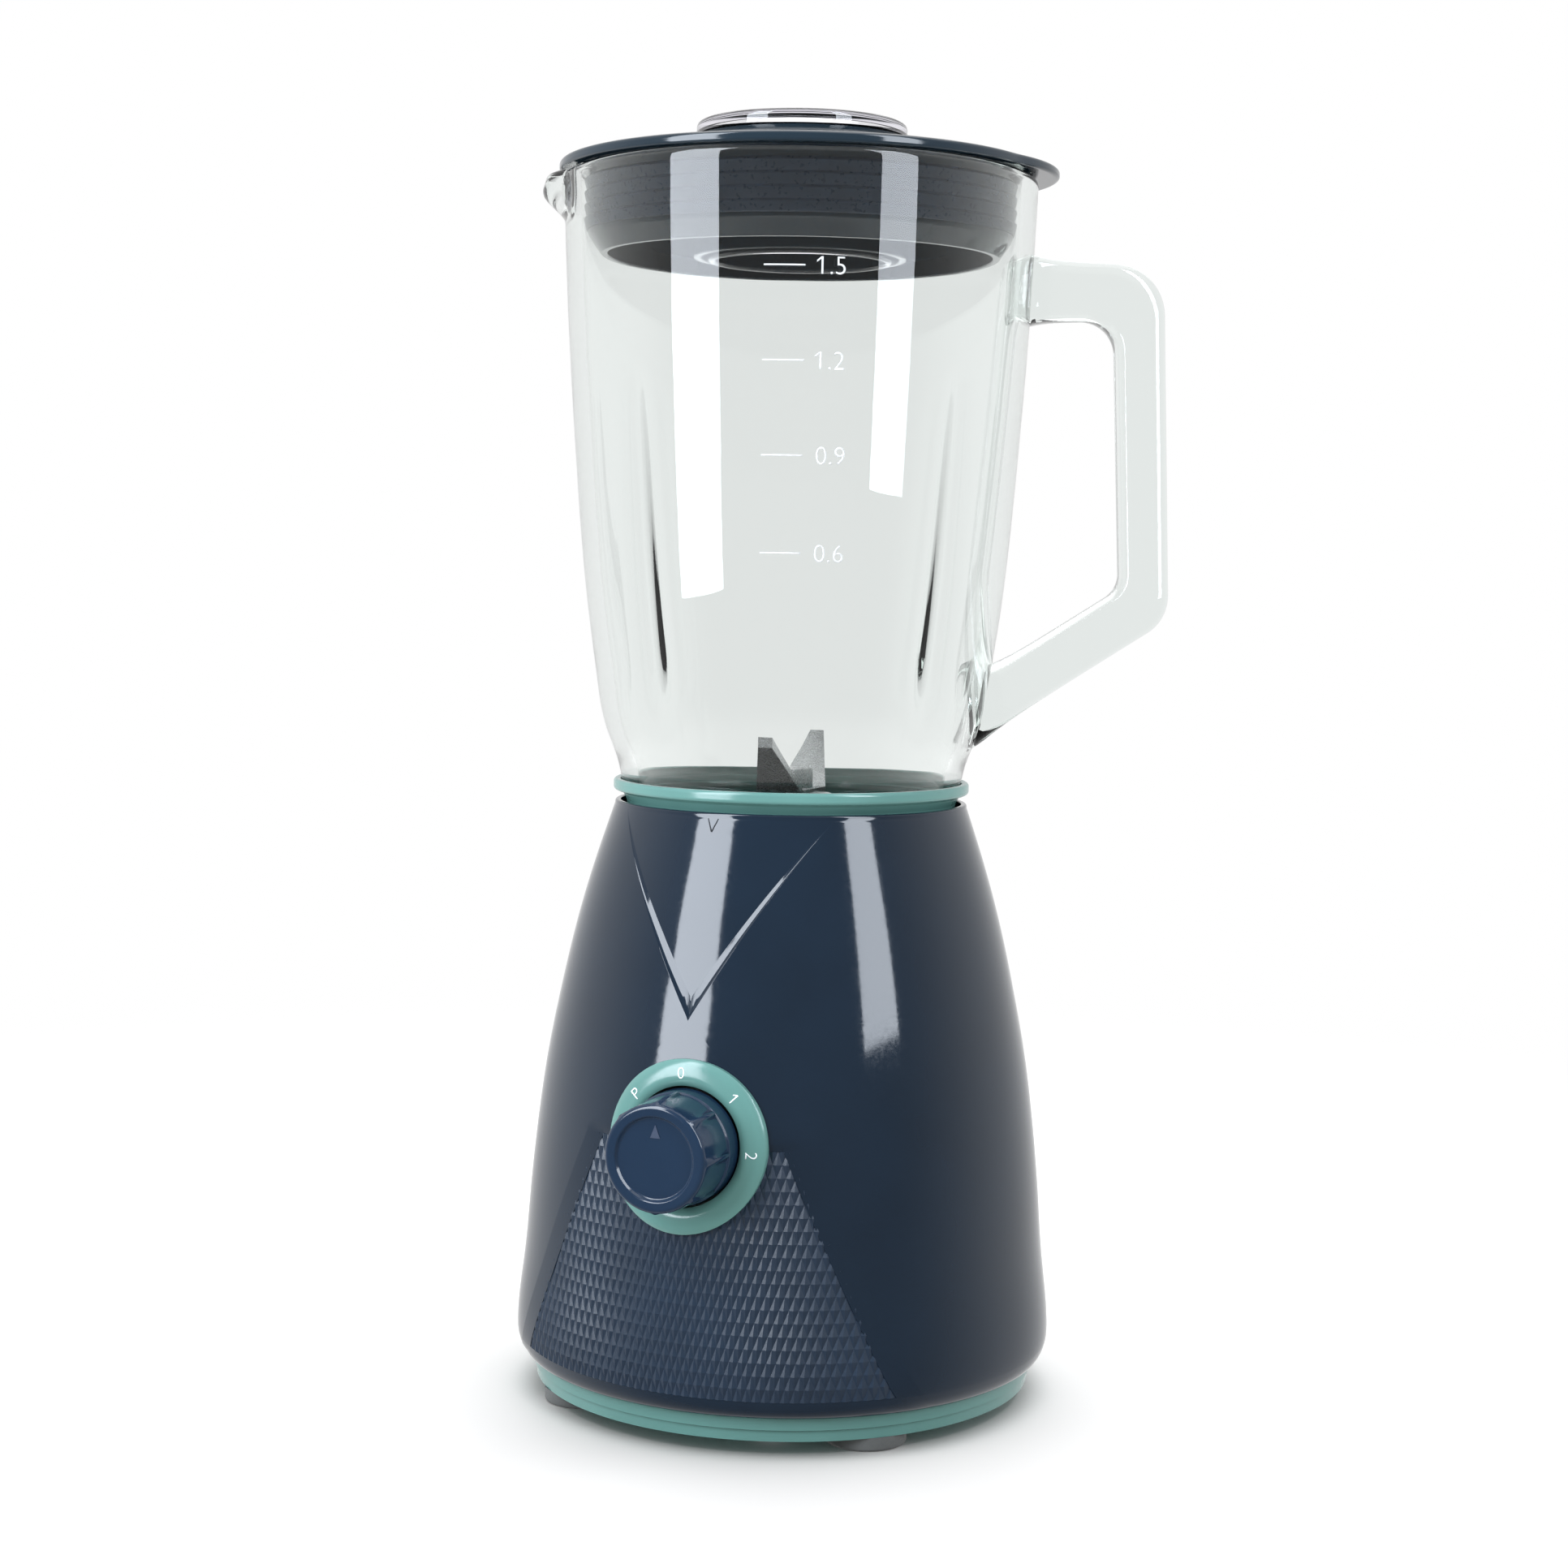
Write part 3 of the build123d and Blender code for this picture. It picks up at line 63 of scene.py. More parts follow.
def aimCamera(setup):
    # forward, right and up from pitch, yaw and roll, then all turned round the object
    pitch, yaw, roll, turn = (math.radians(setup[key]) for key in ("pitch", "yaw", "roll", "round"))
    forward = np.array([math.sin(yaw) * math.cos(pitch), math.cos(yaw) * math.cos(pitch), -math.sin(pitch)])
    level = np.array([math.cos(yaw), -math.sin(yaw), 0.0])
    upright = np.cross(level, forward)
    right = math.cos(roll) * level + math.sin(roll) * upright
    up = -math.sin(roll) * level + math.cos(roll) * upright
    spin = np.array([[math.cos(turn), -math.sin(turn), 0], [math.sin(turn), math.cos(turn), 0], [0, 0, 1]])
    placed = np.eye(4)
    placed[:3, :3] = spin @ np.stack([right, up, -forward], axis=1)
    placed[:3, 3] = setup["place"]
    camera = addObject("camera", bpy.data.cameras.new("camera"))
    camera.data.lens = setup["lens"]
    camera.data.sensor_width = setup["sensor"]
    camera.matrix_world = Matrix(placed.tolist())
    bpy.context.scene.camera = camera


aimCamera(cameraSetup)
print("camera set")

# lines and surfaces from arrays


def splineThrough(knots, values, at, startSlope=None):
    # cubic spline with continuous curvature through the knots; free ends, or a given slope at the start
    knots, values, at = (np.asarray(a, float) for a in (knots, values, at))
    step = np.diff(knots)
    rise = np.diff(values) / step
    count = len(knots)
    system = np.zeros((count, count))
    right = np.zeros(count)
    inner = np.arange(1, count - 1)
    system[inner, inner - 1] = step[:-1]
    system[inner, inner] = 2 * (step[:-1] + step[1:])
    system[inner, inner + 1] = step[1:]
    right[inner] = 6 * np.diff(rise)
    system[0, 0] = system[-1, -1] = 1.0
    if startSlope is not None:
        system[0, :2] = 2 * step[0], step[0]
        right[0] = 6 * (rise[0] - startSlope)
    bend = np.linalg.solve(system, right)
    cell = np.clip(np.searchsorted(knots, at) - 1, 0, count - 2)
    a = knots[cell + 1] - at
    b = at - knots[cell]
    h = step[cell]
    curved = (bend[cell] * a ** 3 + bend[cell + 1] * b ** 3) / (6 * h)
    fromStart = (values[cell] / h - bend[cell] * h / 6) * a
    return curved + fromStart + (values[cell + 1] / h - bend[cell + 1] * h / 6) * b


def unit(value):
    return np.clip(value, 0, 1)


def smoothStep(low, high, value):
    # 0 below low, 1 above high, an S curve between
    share = unit((np.asarray(value, float) - low) / (high - low))
    return share * share * (3 - 2 * share)


def softRise(gap, soft):
    # the gap where it is positive and 0 where it is negative, with a parabola between
    return np.clip(gap + soft, 0, 2 * soft) ** 2 / (4 * soft) + np.maximum(gap - soft, 0)


def lobeReach(turn, centre, radius):
    # distance from the axis to the far side of a circle whose centre stands off the axis
    return centre * np.cos(turn) + np.sqrt(np.maximum(radius ** 2 - (centre * np.sin(turn)) ** 2, 0))


corner = {"straight": 1.55, "most": 0.46, "guard": 0.12, "guardMost": 0.03}


def roundedLine(corners, steps=5, guard=corner["guard"]):
    # corners are (x, y, radius): each is replaced by an arc, with a guard point just outside both its ends
    corners = [np.array(c, float) for c in corners]
    points = [corners[0][:2]]
    for before, here, after in zip(corners, corners[1:], corners[2:]):
        back = before[:2] - here[:2]
        on = after[:2] - here[:2]
        backLength, onLength = np.linalg.norm(back), np.linalg.norm(on)
        back, on = back / backLength, on / onLength
        half = math.acos(np.clip(back @ on, -1, 1)) / 2
        if here[2] <= 0 or half > corner["straight"]:
            points.append(here[:2])
            continue
        run = min(here[2] / math.tan(half), corner["most"] * backLength, corner["most"] * onLength)
        radius = run * math.tan(half)
        middle = here[:2] + (back + on) / np.linalg.norm(back + on) * radius / math.sin(half)
        first, last = here[:2] + back * run - middle, here[:2] + on * run - middle
        swing = math.pi - 2 * half
        turn = np.linspace(0, 1, steps + 1)[:, None]
        arc = (np.sin((1 - turn) * swing) * first + np.sin(turn * swing) * last) / math.sin(swing) + middle
        points += [here[:2] + back * (run + min(guard, backLength * corner["guardMost"])), *arc,
                   here[:2] + on * (run + min(guard, onLength * corner["guardMost"]))]
    points.append(corners[-1][:2])
    return np.array(points)


def around(count):
    # angles of one whole turn, as a row
    return np.linspace(0, 2 * math.pi, count, endpoint=False)[None, :]


def pointsFrom(x, y, z):
    return np.stack(np.broadcast_arrays(x, y, z), axis=-1)


def fromSide(radius, turn, height):
    # points round the upright axis, with the turn counted from the right-hand side
    return pointsFrom(radius * np.cos(turn), radius * np.sin(turn), height)


def fromFront(radius, turn, height):
    # the same, with the turn counted from the front
    return pointsFrom(radius * np.sin(turn), -radius * np.cos(turn), height)


def gridFaces(rows, cols, closeRows, closeCols):
    # quads between neighbouring grid points, wrapping where a direction is closed
    r = np.arange(rows if closeRows else rows - 1)
    c = np.arange(cols if closeCols else cols - 1)
    r, c = np.meshgrid(r, c, indexing="ij")
    rn, cn = (r + 1) % rows, (c + 1) % cols
    return np.stack([r * cols + c, r * cols + cn, rn * cols + cn, rn * cols + c], axis=-1).reshape(-1, 4)


def putMesh(name, points, faces, sharp=40.0):
    # arrays in millimetres become a mesh in metres; doubles merged, faces turned outwards by signed volume
    mesh = bpy.data.meshes.new(name)
    points = np.ascontiguousarray(points.reshape(-1, 3) * mm, dtype=np.float32)
    mesh.from_pydata(points.tolist(), [], faces.tolist())
    work = bmesh.new()
    work.from_mesh(mesh)
    bmesh.ops.remove_doubles(work, verts=work.verts, dist=1e-7)
    if work.calc_volume(signed=True) < 0:
        bmesh.ops.reverse_faces(work, faces=work.faces)
    work.to_mesh(mesh)
    work.free()
    mesh.polygons.foreach_set("use_smooth", np.full(len(mesh.polygons), sharp > 0))
    if sharp > 0:
        mesh.set_sharp_from_angle(angle=math.radians(sharp))
    mesh.update()
    return addObject(name, mesh)


def sweep(name, points, closed=True, sharp=40.0):
    # rows of points round an axis; a closed sweep also joins its last row to the first
    return putMesh(name, points, gridFaces(*points.shape[:2], closed, True), sharp)


def turned(name, profile, turns, closed=True):
    # profile (radius, height) carried round the upright axis
    return sweep(name, fromSide(profile[:, :1], around(turns), profile[:, 1:]), closed)


def thicken(piece, thick, offset=-1.0):
    # a sheet gets a wall, in millimetres; offset -1 puts it behind the sheet and 0 on both sides
    wall = piece.modifiers.new("thickness", "SOLIDIFY")
    wall.thickness = thick * mm
    wall.offset = offset
    return piece


def meshOf(holder):
    # the evaluated object as a plain mesh
    bpy.context.view_layer.update()
    return bpy.data.meshes.new_from_object(holder.evaluated_get(bpy.context.evaluated_depsgraph_get()))


def combine(name, piece, other, how, sharp=40.0):
    # solid union or difference of two closed pieces, kept as a plain mesh
    work = piece.modifiers.new("solid", "BOOLEAN")
    work.operation = how
    work.solver = "EXACT"
    work.object = other
    mesh = meshOf(piece)
    mesh.name = name
    mesh.polygons.foreach_set("use_smooth", np.full(len(mesh.polygons), True))
    mesh.set_sharp_from_angle(angle=math.radians(sharp))
    for old in (piece, other):
        bpy.data.objects.remove(old)
    return addObject(name, mesh)


def paintOn(piece, finish):
    piece.data.materials.clear()
    piece.data.materials.append(paint[finish])


def settle(piece, body, finish, slot, *nodes):
    # one line for what every new piece needs: body, finish and the nodes that it stands for; the slot is not
    # used
    paintOn(piece, finish)
    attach(piece, body)
    if nodes:
        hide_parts(*nodes)
    return piece


# finishes


def feed(tree, node, values):
    # each input gets a constant, or a link from another node's output
    for key, value in values.items():
        if isinstance(value, bpy.types.NodeSocket):
            tree.links.new(value, node.inputs[key])
        else:
            node.inputs[key].default_value = value


def addNode(tree, kind, values=None, out=0, **settings):
    # a new node, handed on by one of its outputs
    node = tree.nodes.new(kind)
    for key, value in settings.items():
        setattr(node, key, value)
    feed(tree, node, values or {})
    return node.outputs[out]


def newMaterial(name):
    material = bpy.data.materials.new(name)
    material.use_nodes = True
    return material, material.node_tree


plastics = {
    "navyPlastic": dict(colour=(0.0063, 0.0143, 0.0265), drift=0.1, rough=(0.055, 0.1), grain=900, bump=0.006),
    "navyPanel": dict(colour=(0.0090, 0.0215, 0.042), drift=0.1, rough=(0.36, 0.44), grain=1400, bump=0.02),
    "navyKnob": dict(colour=(0.0085, 0.0225, 0.048), drift=0.08, rough=(0.10, 0.17), grain=1100, bump=0.01),
    "lidPlastic": dict(colour=(0.0100, 0.0190, 0.0275), drift=0.1, rough=(0.07, 0.13), grain=900, bump=0.006),
    "tealPlastic": dict(colour=(0.104, 0.235, 0.212), drift=0.06, rough=(0.14, 0.22), grain=1000, bump=0.008),
    "footRubber": dict(colour=(0.095, 0.099, 0.097), drift=0.25, rough=(0.55, 0.75), grain=1600, bump=0.10),
    "sealSilicone": dict(colour=(0.020, 0.031, 0.050), drift=0.08, rough=(0.26, 0.34), grain=900, bump=0.006),
    "blackPlastic": dict(colour=(0.016, 0.017, 0.019), drift=0.2, rough=(0.32, 0.48), grain=1100, bump=0.04),
    "carbon": dict(colour=(0.012, 0.012, 0.013), drift=0.4, rough=(0.5, 0.75), grain=2000, bump=0.12),
    "whiteInk": dict(colour=(0.86, 0.88, 0.88), drift=0.05, rough=(0.35, 0.5), grain=1200, bump=0.02),
    # the shoulder pointer: painted shade, darker than the housing, in place of its moulded relief
    "pointerPaintedShade": dict(colour=(0.006, 0.009, 0.014), drift=0.05, rough=(0.4, 0.5), grain=1200, bump=0.01),
    "knobMarkInk": dict(colour=(0.034, 0.050, 0.088), drift=0.05, rough=(0.3, 0.4), grain=1200, bump=0.01),
}
metals = {
    "bladeSteel": dict(colour=(0.62, 0.63, 0.64), drift=0.12, rough=(0.16, 0.34), grain=1500, bump=0.02,
                       stretch=(1, 14, 1)),
    "fastenerSteel": dict(colour=(0.45, 0.45, 0.46), drift=0.2, rough=(0.25, 0.42), grain=1800, bump=0.03),
    "shaftSteel": dict(colour=(0.52, 0.52, 0.53), drift=0.15, rough=(0.18, 0.30), grain=1500, bump=0.02,
                       stretch=(1, 1, 12)),
    "laminationSteel": dict(colour=(0.24, 0.24, 0.25), drift=0.3, rough=(0.4, 0.6), grain=1200, bump=0.08,
                            stretch=(0.1, 0.1, 3)),
    "copperWire": dict(colour=(0.62, 0.25, 0.09), drift=0.3, rough=(0.25, 0.42), grain=1500, bump=0.25,
                       stretch=(0.2, 0.2, 3)),
    "bronze": dict(colour=(0.45, 0.29, 0.12), drift=0.2, rough=(0.3, 0.5), grain=1400, bump=0.05),
    "castAlloy": dict(colour=(0.42, 0.43, 0.44), drift=0.2, rough=(0.42, 0.6), grain=900, bump=0.12),
}
noise = {"spread": (0.3, 0.7), "cloud": 0.03, "height": 0.0005}  # height in metres


def makeFinish(name, metal, colour, drift, rough, grain, bump, stretch=(1, 1, 1)):
    # noise on object coordinates drifts the colour, spreads the roughness and lifts a fine bump
    material, tree = newMaterial(name)
    place = addNode(tree, "ShaderNodeTexCoord", out="Object")
    mapping = addNode(tree, "ShaderNodeMapping", {"Vector": place, "Scale": stretch})
    slow = grain * noise["cloud"]
    cloud = addNode(tree, "ShaderNodeTexNoise", {"Vector": place, "Scale": slow, "Detail": 3})
    fine = addNode(tree, "ShaderNodeTexNoise", {"Vector": mapping, "Scale": grain, "Detail": 2})
    tint = addNode(tree, "ShaderNodeValToRGB", {"Fac": cloud})
    low, high = noise["spread"]
    for stop, at, share in zip(tint.node.color_ramp.elements, (low, high), (1 - drift, 1 + drift)):
        stop.color = (*np.minimum(np.array(colour) * share, 1), 1)
        stop.position = at
    spread = addNode(tree, "ShaderNodeMapRange", {
        "Value": fine, "From Min": low, "From Max": high, "To Min": rough[0], "To Max": rough[1]})
    relief = addNode(tree, "ShaderNodeBump", {"Height": fine, "Strength": bump, "Distance": noise["height"]})
    feed(tree, tree.nodes["Principled BSDF"], {
        "Base Color": tint, "Roughness": spread, "Metallic": metal, "Normal": relief})
    return material


clears = {
    "clearGlass": dict(colour=(0.985, 0.995, 0.99), ior=1.5, rough=0.0, wave=60, bump=0.012,
                       soak=(0.74, 0.93, 0.86), density=11.0),
    "clearPlastic": dict(colour=(0.975, 0.97, 0.985), ior=1.49, rough=0.02, wave=90, bump=0.01,
                         soak=(0.85, 0.82, 0.95), density=8.0),
    "frostMark": dict(colour=(0.93, 0.95, 0.95), ior=1.5, rough=0.45, wave=900, bump=0.1,
                      soak=(0.9, 0.95, 0.92), density=1.0, clear=0.4),
}
rippleHeight = 0.002  # metres


def makeClear(name, colour, ior, rough, wave, bump, soak, density, clear=1.0):
    # see-through shader with a slow ripple in its surface and a colour that deepens with thickness
    material, tree = newMaterial(name)
    place = addNode(tree, "ShaderNodeTexCoord", out="Object")
    ripple = addNode(tree, "ShaderNodeTexNoise", {"Vector": place, "Scale": wave, "Detail": 1})
    relief = addNode(tree, "ShaderNodeBump", {"Height": ripple, "Strength": bump, "Distance": rippleHeight})
    inside = addNode(tree, "ShaderNodeVolumeAbsorption", {"Color": (*soak, 1), "Density": density})
    feed(tree, tree.nodes["Principled BSDF"], {
        "Base Color": (*colour, 1), "Transmission Weight": clear, "IOR": ior, "Roughness": rough,
        "Normal": relief})
    feed(tree, tree.nodes["Material Output"], {"Volume": inside})
    return material


paint = {name: makeFinish(name, 0.0, **look) for name, look in plastics.items()}
paint |= {name: makeFinish(name, 1.0, **look) for name, look in metals.items()}
paint |= {name: makeClear(name, **look) for name, look in clears.items()}
print("finishes made:", len(paint))

# what every node of the frame is made of

nodeFinish = {
    "navyPlastic": "motor_housing",
    "navyKnob": "control_knob",
    "lidPlastic": "lid",
    "tealPlastic": "bottom_cover dial_ring jug_collar",
    "clearGlass": "glass_jug",
    "clearPlastic": "filler_cap",
    "footRubber": "rubber_feet motor_dampers",
    "sealSilicone": "lid_seal jug_gasket blade_seal",
    "bladeSteel": "lower_blade upper_blade blade_washer blade_nut",
    "shaftSteel": "motor_shaft blade_shaft brush_springs",
    "fastenerSteel": "cover_screws bracket_screws motor_bolts",
    "laminationSteel": "motor_stator armature_core",
    "copperWire": "field_coils armature_windings commutator",
    "bronze": "upper_bearing lower_bearing blade_bearing brush_holders",
    "castAlloy": "upper_bracket lower_bracket",
    "blackPlastic": "switch_body switch_spindle cooling_fan drive_coupling driven_coupling "
                    "cord_gland blade_carrier",
    "carbon": "carbon_brushes",
}
for finish, names in nodeFinish.items():
    for name in names.split():
        paintOn(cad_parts[name], finish)
print("frame nodes painted")

# housing

housing = {
    "mouth": 73.2, "edge": 75.8, "low": 11.0, "belly": (80.3, 19.0), "shoulder": (53.0, 175.0),
    "well": 51.0, "top": 177.0, "wall": 2.6, "inner": (166.0, 168.0),
    "curve": [(0.135, 0.929), (0.263, 0.8685), (0.391, 0.796), (0.519, 0.697), (0.647, 0.557), (0.776, 0.3905),
              (0.904, 0.182)],
    "deckTop": 147.5, "deckLow": 145.0, "deckHole": 22.0, "deckLip": (2.0, 3.0),
    "creaseTip": 120.0, "creaseSlope": 0.6, "creaseTop": 171.0, "creaseBevel": (3.7, 0.4),
    "creaseLean": [(0, 0.13), (0.15, 0.13), (0.3, 0.18), (0.45, 0.28), (1, 0.30)],
    "creaseStep": (0.2, 0.6), "creaseFade": (176.0, 5.0), "creaseTurn": (-1.5, -3.0), "creaseCalm": 4.0,
    "panelTop": 85.5, "panelLow": 16.5, "panelHalf": 28.0, "panelSlope": 0.435, "panelDeep": 1.7,
    "borderHalf": 34.0, "borderSlope": 0.4247, "borderDeep": 0.7, "borderRun": 5.6, "borderTop": 2.4,
    "seam": (0.25, 0.5),  # half widths to which panel and border columns close above the panel
    "dial": (85.6, 19.5), "gland": (31.0, 6.6), "toolReach": (40.0, 95.0),
}
bellyR, bellyZ = housing["belly"]
shoulderR, shoulderZ = housing["shoulder"]
curveZ = [bellyZ] + [bellyZ + a * (shoulderZ - bellyZ) for a, b in housing["curve"]] + [shoulderZ]
curveR = [bellyR] + [shoulderR + b * (bellyR - shoulderR) for a, b in housing["curve"]] + [shoulderR]


def housingRadius(z):
    # quarter-round below the belly, a smooth spline above it
    z = np.asarray(z, float)
    under = unit((bellyZ - z) / (bellyZ - housing["low"]))
    low = bellyR - (bellyR - housing["edge"]) * (1 - np.sqrt(unit(1 - under ** 2)))
    return np.where(z < bellyZ, low, splineThrough(curveZ, curveR, np.maximum(z, bellyZ), 0.0))


def halfOf(part, z):
    # half width of the grip panel or of its border, straight-sided in the front view
    return housing[part + "Half"] + housing[part + "Slope"] * np.maximum(housing["panelTop"] - z, 0)


def creaseBevel(z):
    # width of the crease's bevel in the front view, narrowing upwards
    low, high = housing["creaseBevel"]
    tipTop = housing["creaseTip"] + low / housing["creaseSlope"]
    return low + (high - low) * np.clip((z - tipTop) / (housing["creaseTop"] - tipTop), 0, 1.2)


def guides(z):
    # two lines that the grid's columns follow: panel side and border below, both edges of the crease above
    h = housing
    tip, top = h["creaseTip"], h["panelTop"] + 1
    near, far = h["seam"]
    closing = unit((tip - z) / (tip - top))
    line = h["creaseSlope"] * np.maximum(z - tip, 0)
    first = np.where(z <= top, halfOf("panel", z), near + (h["panelHalf"] - near) * closing)
    first = np.where(z > tip, np.maximum(line - creaseBevel(z), near), first)
    second = np.where(z <= top, halfOf("border", z), far + (h["borderHalf"] - far) * closing)
    second = np.where(z > tip, np.maximum(line, far), second)
    return first, second


def housingGrid():
    # heights of the rows, and angles from the front for every row's columns, both close together at edges
    h = housing
    low, top, tip, end = h["panelLow"], h["panelTop"], h["creaseTip"], h["creaseTop"]
    edge = np.array([-0.06, 0.0, 0.06])
    bow = 0.62 * (1 - np.cos(np.linspace(0, math.pi / 2, 9)[:-1]))
    rows = np.concatenate([
        h["low"] + (bellyZ - h["low"]) * bow, low + edge, np.linspace(low + 1.2, top - 1.2, 42), top + edge,
        [top + 1.2, top + h["borderTop"]], np.linspace(top + 4, tip - 1.5, 24),
        np.linspace(tip - 0.8, tip + 5, 30), np.linspace(tip + 5.7, end + 0.5, 64),
        np.linspace(end + 1.2, shoulderZ + 0.4, 8)])
    panel = np.concatenate([np.linspace(0, 0.97, 44), [0.992, 1.0]])
    band = np.array([0.02, 0.15, 0.4, 0.65, 0.8, 0.97, 1.0, 1.03])
    rest = np.linspace(0, 1, 52)[1:] ** 1.15
    z = rows[:, None]
    half, border = guides(z)
    across = np.concatenate([half * panel, half + (border - half) * band], axis=1)
    turn = np.arcsin(np.clip(across / housingRadius(z), -1, 1))
    turn = np.concatenate([turn, turn[:, -1:] + (math.pi - turn[:, -1:]) * rest], axis=1)
    return z, np.concatenate([-turn[:, :0:-1], turn[:, :-1]], axis=1)


def makeHousing():
    # the outside sunk where crease, border and panel are, then the well and the inside in one closed loop
    h = housing
    z, turn = housingGrid()
    tip, top, low = h["creaseTip"], h["panelTop"], h["panelLow"]
    radius = housingRadius(z)
    side = np.abs(radius * np.sin(turn))
    # the crease: a narrow bevel along two straight lines that meet in a tip, fading towards the shoulder
    share = unit((z - tip) / (h["creaseTop"] - tip))
    lean = np.interp(share, *zip(*h["creaseLean"]))
    fadeEnd, fadeRun = h["creaseFade"]
    depth = lean * creaseBevel(z) * unit((fadeEnd - z) / fadeRun)
    into = unit((h["creaseSlope"] * (z - tip) - side) / creaseBevel(z))
    # a steep narrow step runs along its outer edge
    wide, steep = h["creaseStep"]
    sunk = depth * (into + np.minimum(into, wide) * steep / lean)
    # the border leans in from its outer line, and the panel's bed is cut square
    inward = (halfOf("border", z) - side) / math.hypot(1, h["borderSlope"])
    ramp = unit(inward / h["borderRun"])
    ramp = np.minimum(ramp, unit((top + h["borderTop"] - z) / h["borderTop"]))
    ramp = np.minimum(ramp, unit((z - h["low"]) / (low - h["low"])))
    sunk = sunk + h["borderDeep"] * ramp
    hair = 0.01
    bed = (side < halfOf("panel", z) - hair) & (z < top - hair) & (z > low + hair)
    sunk = np.where(bed, h["panelDeep"], sunk)
    radius = radius - np.where(np.cos(turn) > 0, sunk, 0.0)
    swing = np.interp(share, (0, 1), h["creaseTurn"])
    turn = turn + np.radians(swing) * smoothStep(top + h["creaseCalm"], tip - h["creaseCalm"], z)
    lip, rise = h["deckLip"]
    back = h["well"] + h["wall"]
    overEnd, underEnd = h["inner"]
    over = roundedLine([
        (shoulderR - 0.25, shoulderZ + 0.6, 0), (shoulderR - 0.35, h["top"], 1.3), (h["well"], h["top"], 0.3),
        (h["well"], h["deckTop"], 1.0), (h["deckHole"] + lip, h["deckTop"], 0.6),
        (h["deckHole"] + lip, h["deckTop"] + rise, 0.6), (h["deckHole"], h["deckTop"] + rise, 0.6),
        (h["deckHole"], h["deckLow"], 0.4), (back, h["deckLow"], 1.0), (back, overEnd, 0)])
    innerZ = np.linspace(underEnd, bellyZ, 18)
    under = np.stack([housingRadius(innerZ) - h["wall"], innerZ], axis=1)
    under[0, 0] = back + 0.1
    tail = np.array([[h["mouth"], h["low"] + 2.5], [h["mouth"], h["low"]], [h["edge"] - 0.5, h["low"]]])
    loop = np.concatenate([over, under, tail])
    # rows in the upper part keep the shoulder's columns, the others the foot's
    upper = len(over) + 8
    columns = np.repeat(turn[[-1, 0]], (upper, len(loop) - upper), axis=0)
    outer = fromFront(radius, turn, z)
    shell = sweep("housing_blank", np.concatenate([outer, fromFront(loop[:, :1], columns, loop[:, 1:])]))
    # holes for the dial's sleeve and the cord gland, cut by one closed tool each
    ring = around(72)
    near, far = h["toolReach"]
    for height, hole, way in ((*h["dial"], -1), (*h["gland"], 1)):
        size = hole * np.array([[0.0], [1.0], [1.0], [0.0]])
        along = way * np.array([[near], [near], [far], [far]])
        tool = pointsFrom(size * np.cos(ring), along, height + size * np.sin(ring))
        shell = combine("housing_shell", shell, sweep("hole_tool", tool, False), "DIFFERENCE")
    return shell


shell = settle(makeHousing(), "base", "navyPlastic", "navy_plastic", "motor_housing")
print("housing made:", len(shell.data.polygons), "faces")

# a small pointer under the shoulder, where the jug lines up: thin strips in painted shade, darker than the
# housing, stand for its moulded relief

pointer = {"turn": -1.9, "low": 171.7, "top": 176.1, "half": 1.9, "line": 0.16, "lift": 0.02, "lean": 0.55,
           "thick": 0.1, "steps": 10}


def makeShoulderPointer():
    # two thin strips from the top corners down to one point, laid on the housing's curve
    p = pointer
    along = np.linspace(0, 1, p["steps"])[:, None]
    across = np.array([[-1.0, 1.0]]) * p["line"]
    strips = []
    for way in (-1, 1):
        x = way * p["half"] * (1 - along) + across
        z = p["top"] + (p["low"] - p["top"]) * along
        past = np.maximum(z - shoulderZ, 0)
        radius = housingRadius(z - past) + p["lift"] - past * p["lean"]
        strips.append(fromFront(radius, math.radians(p["turn"]) + x / radius, z))
    faces = gridFaces(p["steps"], 2, False, False)
    faces = np.concatenate([faces, faces + 2 * p["steps"]])
    return thicken(putMesh("shoulder_pointer", np.concatenate(strips), faces), p["thick"], 0)


# the pointer's strips carry painted shade, darker than the housing, for its moulded relief
settle(makeShoulderPointer(), "base", "pointerPaintedShade", "navy_plastic")

# grip panel: long diamonds, each a low pyramid of four flat faces

grip = {"pitch": 2.5, "row": 3.63, "rows": 19, "columns": 50, "deep": 0.95, "rise": 0.5, "back": 0.6,
        "past": 1.2, "keep": 1.0, "dialGap": 1.4}


